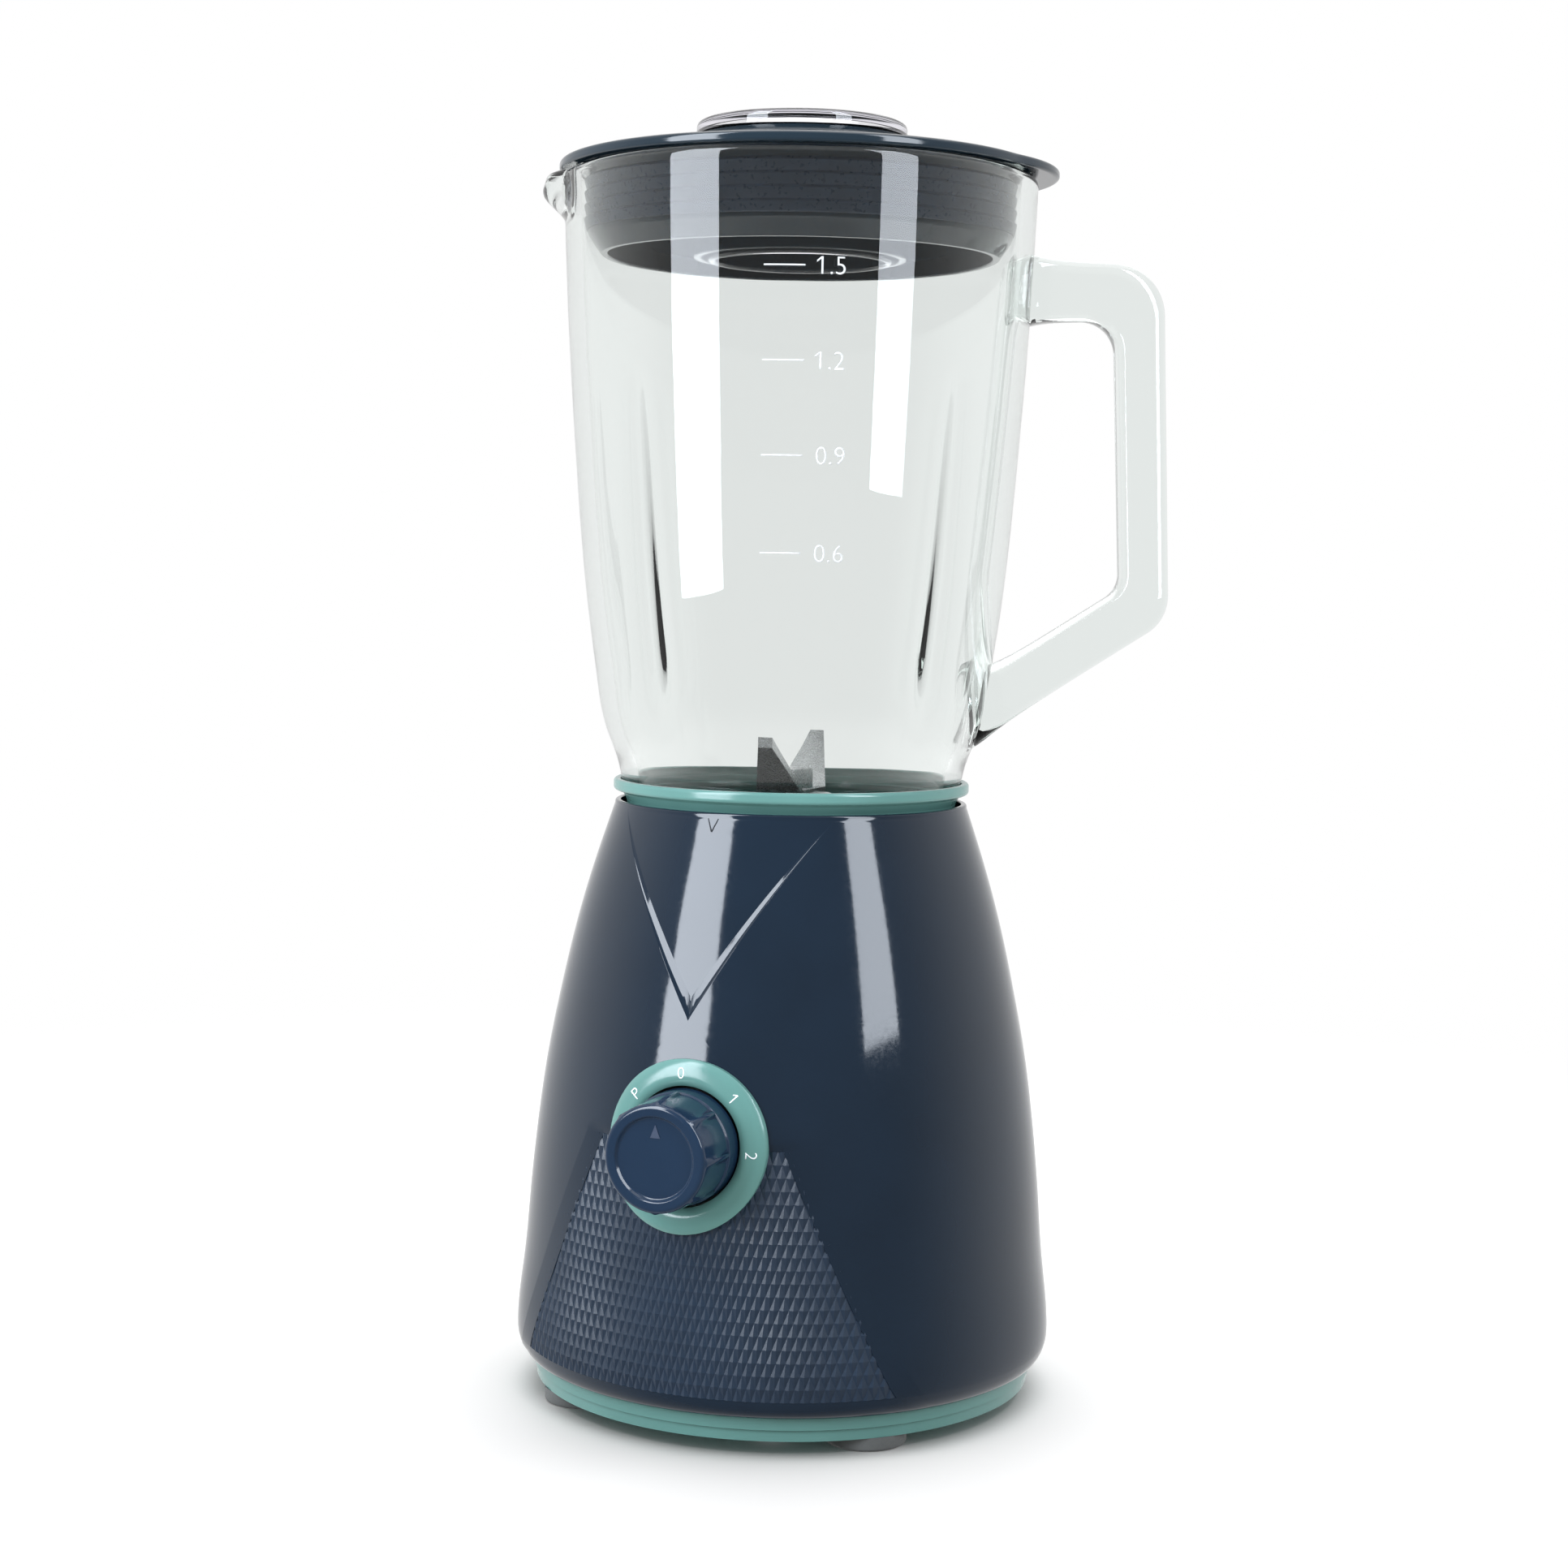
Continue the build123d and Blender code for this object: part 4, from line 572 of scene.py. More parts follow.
def makeGrip():
    # lattice of half pitches by rows: points where row and column are both odd or both even are peaks
    g = grip
    row = np.arange(g["rows"] + 1)
    column = np.arange(-g["columns"], g["columns"] + 1)
    r, c = np.meshgrid(row, column, indexing="ij")
    z = housing["panelTop"] - g["row"] * r
    peak = (r + c) % 2 == 0
    radius = housingRadius(z) - g["deep"] + np.where(peak, g["rise"], 0.0)
    x = np.clip(c * g["pitch"] / 2, -halfOf("panel", z) - g["past"], halfOf("panel", z) + g["past"])
    points = pointsFrom(x, -np.sqrt(radius ** 2 - x ** 2), z).reshape(-1, 3)
    quads = gridFaces(len(row), len(column), False, False)
    # each quad is split along its valley, from one low corner to the other
    lowFirst = ~peak.reshape(-1)[quads[:, 0]]
    split = np.where(lowFirst[:, None], quads[:, [0, 1, 2, 0, 2, 3]], quads[:, [1, 2, 3, 1, 3, 0]])
    faces = split.reshape(-1, 3)
    middle = points[faces].mean(axis=1)
    inside = np.abs(middle[:, 0]) < halfOf("panel", middle[:, 2]) + g["keep"]
    dialZ, dialHole = housing["dial"]
    clear = np.hypot(middle[:, 0], middle[:, 2] - dialZ) > dialHole + g["dialGap"]
    used, faces = np.unique(faces[inside & clear], return_inverse=True)
    piece = putMesh("grip_panel", points[used], faces.reshape(-1, 3), sharp=0)
    return thicken(piece, g["back"])


gripPanel = settle(makeGrip(), "base", "navyPanel", "navy_plastic")
print("grip panel made:", len(gripPanel.data.polygons), "faces")

# dial ring and its marks

dial = {"centre": 85.6, "outer": 24.1, "hole": 16.75, "sleeve": 19.4, "proud": 2.2, "back": 64.0,
        "crown": (0.52, 0.62, 3.2), "rim": [(24.1, 0.15), (23.9, -0.9), (19.4, -0.9)], "holeLift": -0.5,
        "marks": [("P", -49.0), ("0", -4.0), ("1", 45.5), ("2", 92.5)],
        "markAt": 20.4, "markTall": 3.3, "markLift": 0.05, "markThick": 0.12}


def dialHeight(out):
    # height of the ring over the housing: a soft crown that drops to the hole
    middle, half, power = dial["crown"]
    share = (out - dial["hole"]) / (dial["outer"] - dial["hole"])
    return dial["proud"] * unit(1 - np.abs((share - middle) / half) ** power)


def onDial(out, turn, lift):
    # a point at a distance and angle from the dial's centre, lifted off the housing's curve
    x = out * np.sin(turn)
    z = dial["centre"] + out * np.cos(turn)
    return pointsFrom(x, -np.sqrt((housingRadius(z) + lift) ** 2 - x ** 2), z)


def makeDial():
    # crown, rim, outside of the sleeve, its flat end and the hole, in one closed loop
    d = dial
    turn = around(160)
    inset = 0.02
    face = np.linspace(d["hole"] + inset, d["outer"] - inset, 26)[:, None]
    rim = np.array(d["rim"])
    end = onDial(np.array([[d["sleeve"]], [d["hole"]]]), turn, 0.0)
    end[..., 1] = -d["back"]
    hole = onDial(np.array([[d["hole"]]]), turn, d["holeLift"])
    front = onDial(face, turn, dialHeight(face))
    return sweep("dial_face", np.concatenate([front, onDial(rim[:, :1], turn, rim[:, 1:]), end, hole]))


settle(makeDial(), "base", "tealPlastic", "teal_plastic", "dial_ring")

lettering = {
    "tall": 0.7, "thin": 0.012, "curve": 4, "edge": 0.22, "cuts": 3,
    "flag": [(0, 0, 0), (-0.24, -0.2, 0), (-0.24, -0.31, 0), (0, -0.13, 0)],  # shares of the letter's height
}


def flatText(words, tall):
    # the built-in letters as a flat mesh in millimetres, centred, cut fine enough to bend
    curve = bpy.data.curves.new("letters", "FONT")
    curve.body = words
    curve.size = tall / lettering["tall"]
    curve.align_x = "CENTER"
    curve.align_y = "CENTER"
    curve.resolution_u = lettering["curve"]
    curve.offset = -lettering["thin"] * curve.size
    holder = addObject("letters", curve)
    mesh = meshOf(holder)
    bpy.data.objects.remove(holder)
    work = bmesh.new()
    work.from_mesh(mesh)
    bmesh.ops.triangulate(work, faces=work.faces)
    for cut in range(lettering["cuts"]):
        long = [e for e in work.edges if e.calc_length() > tall * lettering["edge"]]
        bmesh.ops.subdivide_edges(work, edges=long, cuts=1)
        bmesh.ops.triangulate(work, faces=work.faces)
    work.to_mesh(mesh)
    work.free()
    points = np.zeros(len(mesh.vertices) * 3)
    mesh.vertices.foreach_get("co", points)
    points = points.reshape(-1, 3)
    middle = (points.min(axis=0) + points.max(axis=0)) / 2
    faces = np.array([list(f.vertices) for f in mesh.polygons])
    side = points[faces[:, 1:]] - points[faces[:, :1]]
    under = side[:, 0, 0] * side[:, 1, 1] < side[:, 0, 1] * side[:, 1, 0]
    faces[under] = faces[under][:, ::-1]
    if words[0] == "1":
        # the built-in 1 is a bare bar, so it is given a small flag
        left, top = points[:, 0].min(), points[:, 1].max()
        faces = np.concatenate([faces, len(points) + np.array([(0, 1, 2), (0, 2, 3)])])
        points = np.concatenate([points, np.array(lettering["flag"]) * tall + (left, top, 0)])
    return points - middle, faces


def inkOn(name, parts, thick, offset=-1.0):
    # flat parts, each points and faces, joined into one piece with a thin wall
    starts = np.cumsum([0] + [len(points) for points, faces in parts])
    points = np.concatenate([points for points, faces in parts])
    faces = np.concatenate([faces + start for (points, faces), start in zip(parts, starts)])
    return thicken(putMesh(name, points, faces), thick, offset)


def makeMarks():
    parts = []
    for words, turn in dial["marks"]:
        flat, faces = flatText(words, dial["markTall"])
        angle = math.radians(turn) + flat[:, 0] / dial["markAt"]
        out = dial["markAt"] + flat[:, 1]
        parts.append((onDial(out, angle, dialHeight(out) + dial["markLift"]), faces))
    return inkOn("dial_marks", parts, dial["markThick"])


settle(makeMarks(), "base", "whiteInk", "teal_plastic")
print("dial made")

# control knob

knob = {"centre": 85.6, "back": 71.9, "long": 21.5, "skirt": (16.1, 16.0), "skirtLong": 6.2,
        "grip": (15.5, 15.1), "recess": 11.2, "deep": 1.1, "bore": 3.1, "boreDeep": 12.0,
        "ribs": 8, "ribWide": 1.15, "ribHigh": 1.0, "ribStart": (0.4, 1.0), "ribEnd": (2.2, 0.8),
        "ribFrom": (2.6, 3.4),
        "pointer": [(-1.5, 5.7), (1.5, 5.7), (0.0, 9.4)], "pointerDeep": (0.2, -0.16)}


def makeKnob():
    # profile (distance from the axis, distance along it) carried round, with narrow ridges raised on the grip
    k = knob
    end, foot = k["long"], k["skirtLong"]
    profile = roundedLine([
        (k["bore"], k["boreDeep"], 0), (k["bore"], 0.0, 0.3), (k["skirt"][0], 0.0, 0.6),
        (k["skirt"][1], foot, 0.8), (k["grip"][0], foot + 0.5, 0.5), (k["grip"][1], end, 1.3),
        (k["recess"] + 0.7, end - 0.1, 0.5), (k["recess"], end - k["deep"], 0.5), (0.0, end - k["deep"], 0)])
    # inside, where it isn't seen, the bore ends in a hollow cone that runs up towards the face
    cone = profile[-1] + (profile[0] - profile[-1]) * np.linspace(0.06, 0.94, 14)[:, None]
    profile = np.concatenate([[[0.0, k["boreDeep"]]], cone, profile])
    turn = around(256)
    out, along = profile[:, :1], profile[:, 1:]
    pitch = 2 * math.pi / k["ribs"]
    away = (turn + pitch / 2) % pitch - pitch / 2
    start, stop = foot + np.array(k["ribStart"]), end - np.array(k["ribEnd"])
    where = smoothStep(*start, along) * (1 - smoothStep(*stop, along))
    side = smoothStep(*(k["recess"] + np.array(k["ribFrom"])), out)
    out = out + k["ribHigh"] * where * side * np.exp(-(away * k["grip"][0] / k["ribWide"]) ** 2)
    points = pointsFrom(out * np.sin(turn), -(k["back"] + along), k["centre"] + out * np.cos(turn))
    return sweep("knob_grip", points, False, 55)


settle(makeKnob(), "knob", "navyKnob", "navy_plastic", "control_knob")


def makePointer():
    # a thin triangle on the knob's sunk face, pointing to the chosen mark
    k = knob
    x, up = np.array(k["pointer"]).T
    y = np.array(k["pointerDeep"])[:, None] - (k["back"] + k["long"] - k["deep"])
    points = pointsFrom(x, y, k["centre"] + up)
    ends = [[0, 1, 2], [3, 5, 4]]
    sides = [[1, 0, 4], [0, 3, 4], [2, 1, 5], [1, 4, 5], [0, 2, 3], [2, 5, 3]]
    return putMesh("knob_pointer", points, np.array(ends + sides), sharp=0)


settle(makePointer(), "knob", "knobMarkInk", "navy_plastic")
print("knob made")

# glass jug

jug = {
    "turn": 22.24, "neck": (47.3, 171.2, 178.2), "foot": (50.5, 180.95), "rim": (69.9, 361.0), "wall": 5.0,
    "rimBow": 2.2,
    "curve": [(0.045, 0.088), (0.096, 0.263), (0.18, 0.4175), (0.292, 0.562), (0.433, 0.696), (0.601, 0.8144),
              (0.77, 0.9124), (0.91, 0.969)],
    "ribs": 4, "ribLow": 192.0, "ribTop": 303.0, "ribDeep": 2.6, "ribWide": 7.0, "ribDent": 1.45,
    "ribGrow": 0.55, "ribFade": 0.72, "ribNarrow": 0.4,
    "spoutReach": 6.5, "spoutRound": 20.0, "spoutHalf": 0.33, "spoutSoft": 1.6, "spoutLow": 346.5,
    "spoutFull": 355.5, "spoutRoll": (356.0, 362.0, 0.3),
}
jugTurn = math.radians(jug["turn"])
footR, footZ = jug["foot"]
rimR, rimZ = jug["rim"]
jugZ = [footZ] + [footZ + a * (rimZ - footZ) for a, b in jug["curve"]] + [rimZ]
jugR = [footR] + [footR + b * (rimR - footR) for a, b in jug["curve"]] + [rimR]


def jugRadius(z):
    return splineThrough(jugZ, jugR, z)


def spoutBulge(turn, z):
    # how far the lip stands out beyond the rim: a round lobe opposite the handle, growing from below
    away = np.arctan2(np.sin(turn - math.pi), np.cos(turn - math.pi))
    centre = rimR + jug["spoutReach"] - jug["spoutRound"]
    lobe = lobeReach(away, centre, jug["spoutRound"]) - rimR
    lobe = np.where(np.abs(away) < jug["spoutHalf"], softRise(lobe, jug["spoutSoft"]), 0)
    rollLow, rollTop, rollBack = jug["spoutRoll"]
    roll = 1 - rollBack * smoothStep(rollLow, rollTop, z)
    return lobe * smoothStep(jug["spoutLow"], jug["spoutFull"], z) * roll


def ribRise(turn, z):
    # four ribs between handle and spout, pointed at the top and fuller downwards
    pitch = 2 * math.pi / jug["ribs"]
    away = (turn + math.pi / 4 + pitch / 2) % pitch - pitch / 2
    share = unit((jug["ribTop"] - z) / (jug["ribTop"] - jug["ribLow"]))
    grow = share ** jug["ribGrow"] * (1 - smoothStep(jug["ribFade"], 1.0, share))
    wide = jug["ribWide"] * (jug["ribNarrow"] + (1 - jug["ribNarrow"]) * np.sqrt(share))
    return grow * np.exp(-np.abs(away * jugRadius(z) / wide) ** 2)


def makeJugBody():
    # outer wall up, round rim, inner wall down: one closed loop carried round the axis
    turn = around(288)
    wall = jug["wall"]
    neckR, neckLow, neckTop = jug["neck"]
    bowZ = rimZ - jug["rimBow"]
    upZ = np.concatenate([np.linspace(footZ, 215, 22), np.linspace(217, 338, 60), np.linspace(339, bowZ, 18)])
    upZ = upZ[:, None]
    downZ = upZ[::-1]
    outUp = jugRadius(upZ) + spoutBulge(turn, upZ) - jug["ribDent"] * ribRise(turn, upZ)
    inDown = jugRadius(downZ) - wall + spoutBulge(turn, downZ) - jug["ribDeep"] * ribRise(turn, downZ)
    bow = np.linspace(0, math.pi, 13)[1:-1][:, None]
    rimMiddle = jugRadius(np.array([[bowZ]])) + spoutBulge(turn, bowZ) - wall / 2
    rimBow = rimMiddle + wall / 2 * np.cos(bow)
    neckOut = roundedLine([(neckR, neckLow, 0), (neckR, neckTop, 1.0), (footR, footZ, 0)])[:-1]
    inside = neckR - wall
    neckIn = roundedLine([(footR - wall, footZ, 0), (inside, neckTop, 1.0), (inside, neckLow + 0.4, 0),
                          (inside + 0.4, neckLow, 0)])[1:]
    flat = 0 * turn
    radius = np.concatenate([neckOut[:, :1] + flat, outUp, rimBow, inDown, neckIn[:, :1] + flat])
    height = np.concatenate([neckOut[:, 1:], upZ, bowZ + jug["rimBow"] * np.sin(bow), downZ, neckIn[:, 1:]])
    return sweep("jug_body", fromSide(radius, turn + jugTurn, height))


handle = {
    "outer": [(65.0, 337.7, 0), (107.27, 337.7, 16.0), (111.3, 232.8, 13.0), (52.5, 194.6, 0)],
    "inner": [(65.0, 320.7, 0), (93.32, 320.7, 10.0), (96.7, 241.8, 8.0), (55.0, 214.7, 0)],
    "deep": 8.5, "square": 4.2, "flare": 0.20, "flareRun": 7.0, "reach": 4.0, "steps": (22, 12), "sides": 44,
}


def evenRuns(corners, counts, least=6.0):
    # points along a rounded line, each straight or arc cut into its own number of steps
    line = roundedLine(corners, steps=counts[1], guard=0.0)
    line = line[np.append(True, np.linalg.norm(np.diff(line, axis=0), axis=1) > 1e-6)]
    runs = []
    for start, stop in zip(line, line[1:]):
        steps = counts[0] if np.linalg.norm(stop - start) > least else 1
        runs.append(start + (stop - start) * np.linspace(0, 1, steps, endpoint=False)[:, None])
    return np.concatenate([*runs, line[-1:]])


def makeHandle():
    # a squared oval carried between the outer and inner outlines, swelling where it meets the wall
    h = handle
    outer, inner = evenRuns(h["outer"], h["steps"]), evenRuns(h["inner"], h["steps"])
    middle, half = (outer + inner) / 2, (outer - inner) / 2
    along = np.concatenate([[0], np.cumsum(np.linalg.norm(np.diff(middle, axis=0), axis=1))])
    fromEnd = np.minimum(along, along[-1] - along)[:, None] - h["reach"]
    swell = 1 + h["flare"] * np.exp(-np.maximum(fromEnd, 0) / h["flareRun"])
    turn = around(h["sides"])
    power = 2 / h["square"]
    wide = np.sign(np.cos(turn)) * np.abs(np.cos(turn)) ** power
    deep = np.sign(np.sin(turn)) * np.abs(np.sin(turn)) ** power * h["deep"] * swell
    east = middle[:, :1] + half[:, :1] * wide * swell
    height = middle[:, 1:] + half[:, 1:] * wide * swell
    points = pointsFrom(east * math.cos(jugTurn) + deep * math.sin(jugTurn),
                        east * math.sin(jugTurn) - deep * math.cos(jugTurn), height)
    caps = points[[0, -1]].mean(axis=1, keepdims=True) + 0 * points[[0, -1]]
    return sweep("jug_handle", np.concatenate([caps[:1], points, caps[1:]]), False, 60)


jugWhole = combine("jug_glass", makeJugBody(), makeHandle(), "UNION", 60)
glass = settle(jugWhole, "jug", "clearGlass", "clear_glass", "glass_jug")
print("jug made:", len(glass.data.polygons), "faces")

# fill scale on the glass, facing away from spout and handle

scaleMarks = {
    "levels": [("1.5", 328.4), ("1.2", 302.9), ("0.9", 277.2), ("0.6", 250.5)],
    "line": (-9.5, 1.8), "thick": 0.42, "cuts": (3, 16), "number": 9.5, "tall": 5.0, "proud": 0.35,
}


def onJug(across, z):
    # millimetres round the glass from the middle of its front, and height
    radius = jugRadius(z)
    return fromSide(radius, jugTurn - math.pi / 2 + across / radius, z)


def makeScale():
    s = scaleMarks
    rows, columns = s["cuts"]
    quads = gridFaces(rows, columns, False, False)
    halves = np.concatenate([quads[:, [0, 1, 2]], quads[:, [0, 2, 3]]])
    u, v = np.meshgrid(np.linspace(*s["line"], columns), np.linspace(-0.5, 0.5, rows) * s["thick"])
    parts = []
    for words, height in s["levels"]:
        flat, faces = flatText(words, s["tall"])
        parts.append((onJug(s["number"] + flat[:, 0], height + flat[:, 1]), faces))
        parts.append((onJug(u.ravel(), height + v.ravel()), halves))
    return inkOn("fill_scale", parts, s["proud"], 0)


settle(makeScale(), "jug", "frostMark", "clear_glass")

# collar under the glass, and the stops in the well

collar = {
    "skirt": 50.2, "waist": 48.9, "low": 147.7, "flange": 53.2, "top": 183.3, "mouth": 50.9, "inner": 47.7,
    "neck": 177.8, "neckRise": 2.75, "ledge": (165.7, 162.7), "ledgeWide": 5.0,
    "skirtTop": 171.5, "waistLow": 174.5, "waistTop": (0.4, 177.0), "flare": [(0.3, 179.2), (0.9, 179.8)],
    "flangeLow": 179.9, "slots": 4, "slotWide": 8.3, "slotTop": 159.3, "slotPast": 2.0,
}
lug = {"count": 4, "wide": 7.5, "inner": 48.4, "outer": 51.2, "low": 147.4, "top": 158.5}


def arcBlocks(name, count, wide, inner, outer, low, top, steps=7):
    # blocks between two radii and two heights, evenly round the axis from its first diagonal
    turn = math.pi / 4 + 2 * math.pi * np.arange(count)[:, None, None] / count
    across = np.linspace(-0.5, 0.5, steps)[None, :, None] * wide / outer
    radius, height = np.array([[inner, low], [outer, low], [outer, top], [inner, top]]).T
    first = np.arange(4)
    ends = np.array([first[::-1], first + 4 * (steps - 1)])
    block = np.concatenate([gridFaces(steps, 4, False, True), ends])
    faces = np.concatenate([block + 4 * steps * k for k in range(count)])
    return putMesh(name, fromSide(radius, turn + across, height), faces, sharp=30)


def makeCollar():
    # skirt, waist, flared lip, mouth for the glass and the ledge it rests over
    c = collar
    ledgeTop, ledgeLow = c["ledge"]
    ledgeIn = c["inner"] - c["ledgeWide"]
    waistOut, waistTop = c["waistTop"]
    (flareOut, flareLow), (lipOut, lipLow) = c["flare"]
    loop = roundedLine([
        (c["skirt"], c["low"], 0.5), (c["skirt"], c["skirtTop"], 1.0), (c["waist"], c["waistLow"], 1.0),
        (c["waist"] + waistOut, waistTop, 0.8), (c["skirt"] + flareOut, flareLow, 0.5),
        (c["skirt"] + lipOut, lipLow, 0.3), (c["flange"], c["flangeLow"], 1.3), (c["flange"], c["top"], 1.6),
        (c["mouth"] + 0.2, c["top"], 0.5), (c["mouth"], c["neck"] + c["neckRise"], 0.5),
        (c["inner"], c["neck"], 0.5), (c["inner"], ledgeTop, 0.4), (ledgeIn, ledgeTop, 0.4),
        (ledgeIn, ledgeLow, 0.4), (c["inner"], ledgeLow, 0.4), (c["inner"], c["low"], 0.5)])
    past = c["slotPast"]
    cut = arcBlocks("collar_slots", c["slots"], c["slotWide"], c["inner"] - past, c["skirt"] + past,
                    c["low"] - past, c["slotTop"])
    return combine("collar_ring", turned("collar_body", loop, 224), cut, "DIFFERENCE")


settle(makeCollar(), "jug", "tealPlastic", "teal_plastic", "jug_collar")
settle(arcBlocks("well_lugs", **lug), "base", "navyPlastic", "navy_plastic")
print("collar made")

# lid, its seal and the filler cap

lid = {
    "edge": 71.2, "low": 361.2, "thick": 2.8, "tip": 76.0, "tabRound": 51.0, "tabSoft": 0.8, "top": 372.0,
    "crown": (0.44, 6), "neck": 29.2, "neckWall": 2.3, "plug": 62.63, "plugLow": 337.2, "plugFoot": 58.8,
    "wall": 2.4, "underMiddle": (50.0, 363.9), "underEdge": 362.4,
}


def brimReach(turn):
    # the brim's radius: a circle, and the finger tab's larger lobe over the handle
    lobe = lobeReach(turn, lid["tip"] - lid["tabRound"], lid["tabRound"])
    return lid["edge"] + softRise(lobe - lid["edge"], lid["tabSoft"])


def makeLid():
    # brim, crown, neck, underside and plug in one closed loop; the tab stretches only what lies past the plug
    d = lid
    neckOut = d["neck"] + d["neckWall"]
    plugIn = d["plug"] - d["wall"]
    brim = d["low"] + d["thick"]
    even, power = d["crown"]
    share = np.linspace(0, 1, 26)[1:-1]
    crownStart, crownEnd = d["edge"] - 1.2, neckOut + 1.4
    crownR = crownStart + (crownEnd - crownStart) * share
    crownZ = brim + (d["top"] - brim) * (even * share + (1 - even) * share ** power)
    topside = roundedLine([(d["plug"], d["low"], 0), (d["edge"], d["low"], 0.9), (d["edge"], brim - 0.3, 1.1),
                           (d["edge"] - 1.7, brim + 0.25, 0)])
    neck = roundedLine([
        (crownR[-1], crownZ[-1], 0), (neckOut + 0.6, d["top"], 0.6), (d["neck"], d["top"], 0.6),
        (d["neck"], d["plugLow"], 0.4), (neckOut, d["plugLow"], 0.4), (neckOut, d["top"] - d["wall"] - 1, 1.5),
        (*d["underMiddle"], 2.0), (plugIn, d["underEdge"], 1.0), (plugIn, d["plugLow"] + 6, 2.0),
        (d["plugFoot"] - d["wall"], d["plugLow"], 0.5), (d["plugFoot"], d["plugLow"], 0.5),
        (d["plug"], d["plugLow"] + 5, 2.0), (d["plug"], d["low"] - 0.3, 0)])
    loop = np.concatenate([topside, np.stack([crownR, crownZ], axis=1), neck])
    turn = around(288)
    out = loop[:, :1]
    grow = np.zeros_like(out)
    grow[:len(topside) + len(crownR)] = 1
    stretch = (brimReach(turn) - d["edge"]) * grow * unit((out - d["plug"]) / (d["edge"] - d["plug"]))
    return sweep("lid_cover", fromSide(out + stretch, turn + jugTurn, loop[:, 1:]))


settle(makeLid(), "lid", "lidPlastic", "navy_plastic", "lid")

seal = {"inner": 62.66, "sleeve": 62.95, "reach": 63.95, "low": 343.2, "top": 358.2, "rings": 4, "climb": 0.8,
        "drop": (0.72, 0.98), "inset": (0.1, 0.2), "rows": 96}


def makeSeal():
    # a sleeve with even rings: each leans out as it climbs, then drops back to the sleeve
    s = seal
    inwards, ends = s["inset"]
    z = np.linspace(s["low"] + ends, s["top"] - ends, s["rows"])
    share = (z - s["low"]) / (s["top"] - s["low"]) * s["rings"] % 1
    wave = share ** s["climb"] * (1 - smoothStep(*s["drop"], share))
    out = np.stack([s["sleeve"] + (s["reach"] - s["sleeve"]) * wave, z], axis=1)
    back = [(s["sleeve"] - inwards, s["top"]), (s["inner"], s["top"]), (s["inner"], s["low"]),
            (s["sleeve"] - inwards, s["low"])]
    return turned("seal_rings", np.concatenate([out, back]), 224)


settle(makeSeal(), "lid", "sealSilicone", "seal_silicone", "lid_seal")

cap = {"rim": 31.06, "rimLow": 372.2, "rimTop": 376.8, "cup": 28.8, "draft": 1.6, "wall": 2.2, "low": 336.1,
       "top": 2.2}


def makeCap():
    # a cup that opens downwards: its profile carried round the axis
    c = cap
    inside, under = c["cup"] - c["wall"], c["rimTop"] - c["top"]
    loop = roundedLine([
        (0, c["rimTop"], 0), (c["rim"], c["rimTop"], 1.7), (c["rim"], c["rimLow"], 1.5),
        (c["cup"], c["rimLow"], 0.6), (c["cup"] - c["draft"], c["low"], 0.9),
        (inside - c["draft"], c["low"], 0.9), (inside, under, 1.6), (0, under, 0)])
    return turned("cap_cup", loop, 192, closed=False)


settle(makeCap(), "cap", "clearPlastic", "clear_plastic", "filler_cap")
print("lid, seal and cap made")

# smooth shading for the frame's own nodes that show, as a modifier that leaves their meshes alone


def softNodes(names, angle):
    # doubles merged, every face smooth, and edges sharp where they bend by more than the angle
    group = bpy.data.node_groups.new("soft_shade", "GeometryNodeTree")
    for way in ("INPUT", "OUTPUT"):
        group.interface.new_socket("Geometry", in_out=way, socket_type="NodeSocketGeometry")
    start = addNode(group, "NodeGroupInput")
    weld = addNode(group, "GeometryNodeMergeByDistance", {"Geometry": start, "Distance": 1e-6})
    faces = addNode(group, "GeometryNodeSetShadeSmooth", {"Geometry": weld})
    bend = addNode(group, "GeometryNodeInputMeshEdgeAngle", out="Unsigned Angle")
    most = math.radians(angle)
    limit = addNode(group, "FunctionNodeCompare", {"A": bend, "B": most}, operation="LESS_EQUAL")
    edges = addNode(group, "GeometryNodeSetShadeSmooth", {"Geometry": faces, "Shade Smooth": limit},
                    domain="EDGE")
    feed(group, group.nodes.new("NodeGroupOutput"), {0: edges})
    for name in names:
        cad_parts[name].modifiers.new("soft_shade", "NODES").node_group = group


softNodes([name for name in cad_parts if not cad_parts[name].hide_render], 30)

# floor, light and surroundings

studio = {
    "floorSize": 3.0, "floorColour": (0.90, 0.90, 0.902), "floorRough": 0.6, "floorShine": 0.1,
    "floorFade": (0.26, 0.72),
    "boxes": [{"turn": -49.5, "far": 0.55, "low": 0.13, "high": 1.05, "wide": 0.235, "power": 8.4},
              {"turn": 43.5, "far": 0.55, "low": 0.21, "high": 1.05, "wide": 0.17, "power": 4.6}],
    "boxColour": (0.86, 0.92, 1.0),
    "overhead": (8.0, 1.4), "paper_lamp": (37.0, 2.4), "overheadPlace": (0, 0.15, 1.7),
    "dim": 0.25, "bright": 0.87, "tilt": 0.1, "dimSide": (-0.75, 0.35), "clearSide": (-0.1, -0.4),
}


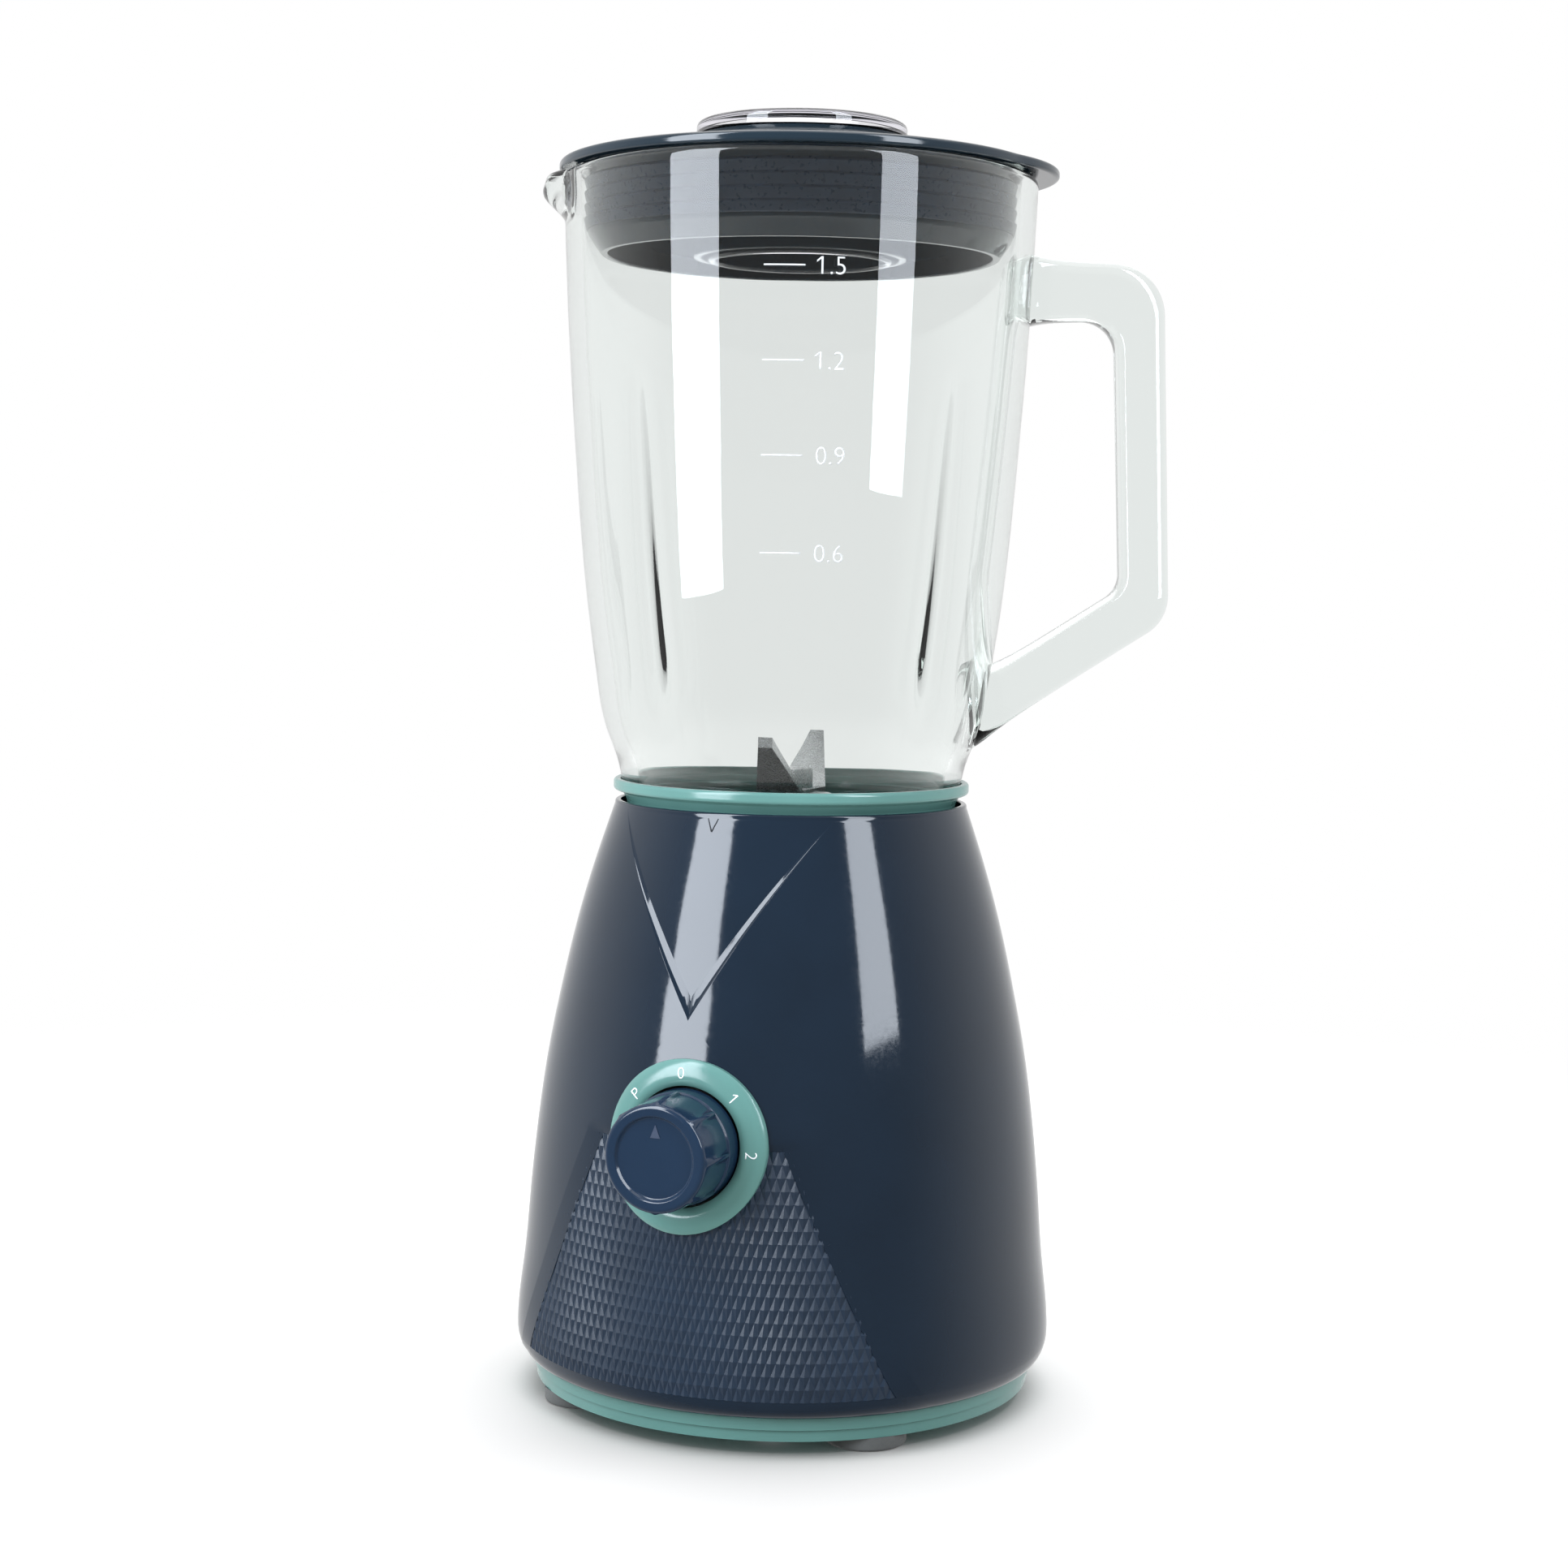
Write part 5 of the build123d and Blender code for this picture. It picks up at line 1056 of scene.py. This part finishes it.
def makeFloor():
    # paper that thins out with distance, so that no horizon shows
    s = studio
    half = s["floorSize"] / 2
    mesh = bpy.data.meshes.new("floor")
    corners = [(-half, -half, 0), (half, -half, 0), (half, half, 0), (-half, half, 0)]
    mesh.from_pydata(corners, [], [(0, 1, 2, 3)])
    material, tree = newMaterial("floorPaper")
    shader = tree.nodes["Principled BSDF"]
    feed(tree, shader, {"Base Color": (*s["floorColour"], 1), "Roughness": s["floorRough"],
                        "Specular IOR Level": s["floorShine"]})
    place = addNode(tree, "ShaderNodeTexCoord", out="Object")
    away = addNode(tree, "ShaderNodeVectorMath", {0: place}, "Value", operation="LENGTH")
    near, far = s["floorFade"]
    fade = addNode(tree, "ShaderNodeMapRange", {"Value": away, "From Min": near, "From Max": far},
                   interpolation_type="SMOOTHSTEP")
    clear = addNode(tree, "ShaderNodeBsdfTransparent")
    mix = addNode(tree, "ShaderNodeMixShader", {"Fac": fade, 1: shader.outputs["BSDF"], 2: clear})
    feed(tree, tree.nodes["Material Output"], {"Surface": mix})
    mesh.materials.append(material)
    floor = addObject("floor", mesh)
    floor.visible_glossy = False
    return floor


def makeLamps(floor):
    # the strips leave the paper alone, so that it stays even, and the paper's own lamp lights nothing else
    s = studio
    notPaper = bpy.data.collections.new("paper_light")
    notPaper.objects.link(floor)
    notPaper.collection_objects[0].light_linking.link_state = "EXCLUDE"
    onlyPaper = bpy.data.collections.new("paper_only")
    onlyPaper.objects.link(floor)
    for index, box in enumerate(s["boxes"]):
        # angle of the box from the camera's own line, seen from the object
        turn = math.radians(cameraSetup["round"] + box["turn"])
        lamp = bpy.data.lights.new(f"strip_{index}", "AREA")
        lamp.shape = "RECTANGLE"
        lamp.size = box["wide"]
        lamp.size_y = box["high"] - box["low"]
        lamp.energy = box["power"]
        lamp.color = s["boxColour"]
        holder = addObject(lamp.name, lamp)
        middle = (box["high"] + box["low"]) / 2
        holder.location = (box["far"] * math.sin(turn), -box["far"] * math.cos(turn), middle)
        holder.rotation_euler = (math.pi / 2, 0, turn)
        holder.light_linking.receiver_collection = notPaper
        holder.visible_transmission = False
    for name in ("overhead", "paper_lamp"):
        lamp = bpy.data.lights.new(name, "AREA")
        lamp.energy, lamp.size = s[name]
        holder = addObject(name, lamp)
        holder.location = s["overheadPlace"]
        if name == "paper_lamp":
            holder.light_linking.receiver_collection = onlyPaper


def makeWorld():
    # white for the camera; for the rest dim behind the camera and bright ahead of it
    s = studio
    world = bpy.data.worlds.new("white_room")
    world.use_nodes = True
    tree = world.node_tree

    def worked(operation, first, second):
        return addNode(tree, "ShaderNodeMath", {0: first, 1: second}, operation=operation)

    place = addNode(tree, "ShaderNodeTexCoord", out="Generated")
    turn = math.radians(cameraSetup["round"])
    ahead = (-math.sin(turn), math.cos(turn), s["tilt"])
    facing = addNode(tree, "ShaderNodeVectorMath", {0: place, 1: ahead}, "Value", operation="DOT_PRODUCT")
    low, high = s["dimSide"]
    spread = addNode(tree, "ShaderNodeMapRange", {
        "Value": facing, "From Min": low, "From Max": high, "To Min": s["dim"], "To Max": s["bright"]},
        interpolation_type="SMOOTHSTEP")
    # light that only passed through glass finds the dim side bright too: the jug stays clear from behind
    low, high = s["clearSide"]
    behind = addNode(tree, "ShaderNodeMapRange", {
        "Value": facing, "From Min": low, "From Max": high, "To Max": s["bright"]})
    path = addNode(tree, "ShaderNodeLightPath").node.outputs
    bounces = worked("ADD", path["Glossy Depth"], path["Diffuse Depth"])
    passed = worked("MULTIPLY", worked("LESS_THAN", bounces, 0.5), path["Is Transmission Ray"])
    lift = worked("MAXIMUM", spread, path["Is Camera Ray"])
    strength = worked("MAXIMUM", lift, worked("MULTIPLY", passed, behind))
    feed(tree, tree.nodes["Background"], {"Color": (1, 1, 1, 1), "Strength": strength})
    bpy.context.scene.world = world
    bpy.context.scene.view_settings.view_transform = "Standard"


makeLamps(makeFloor())
makeWorld()
print("studio set")
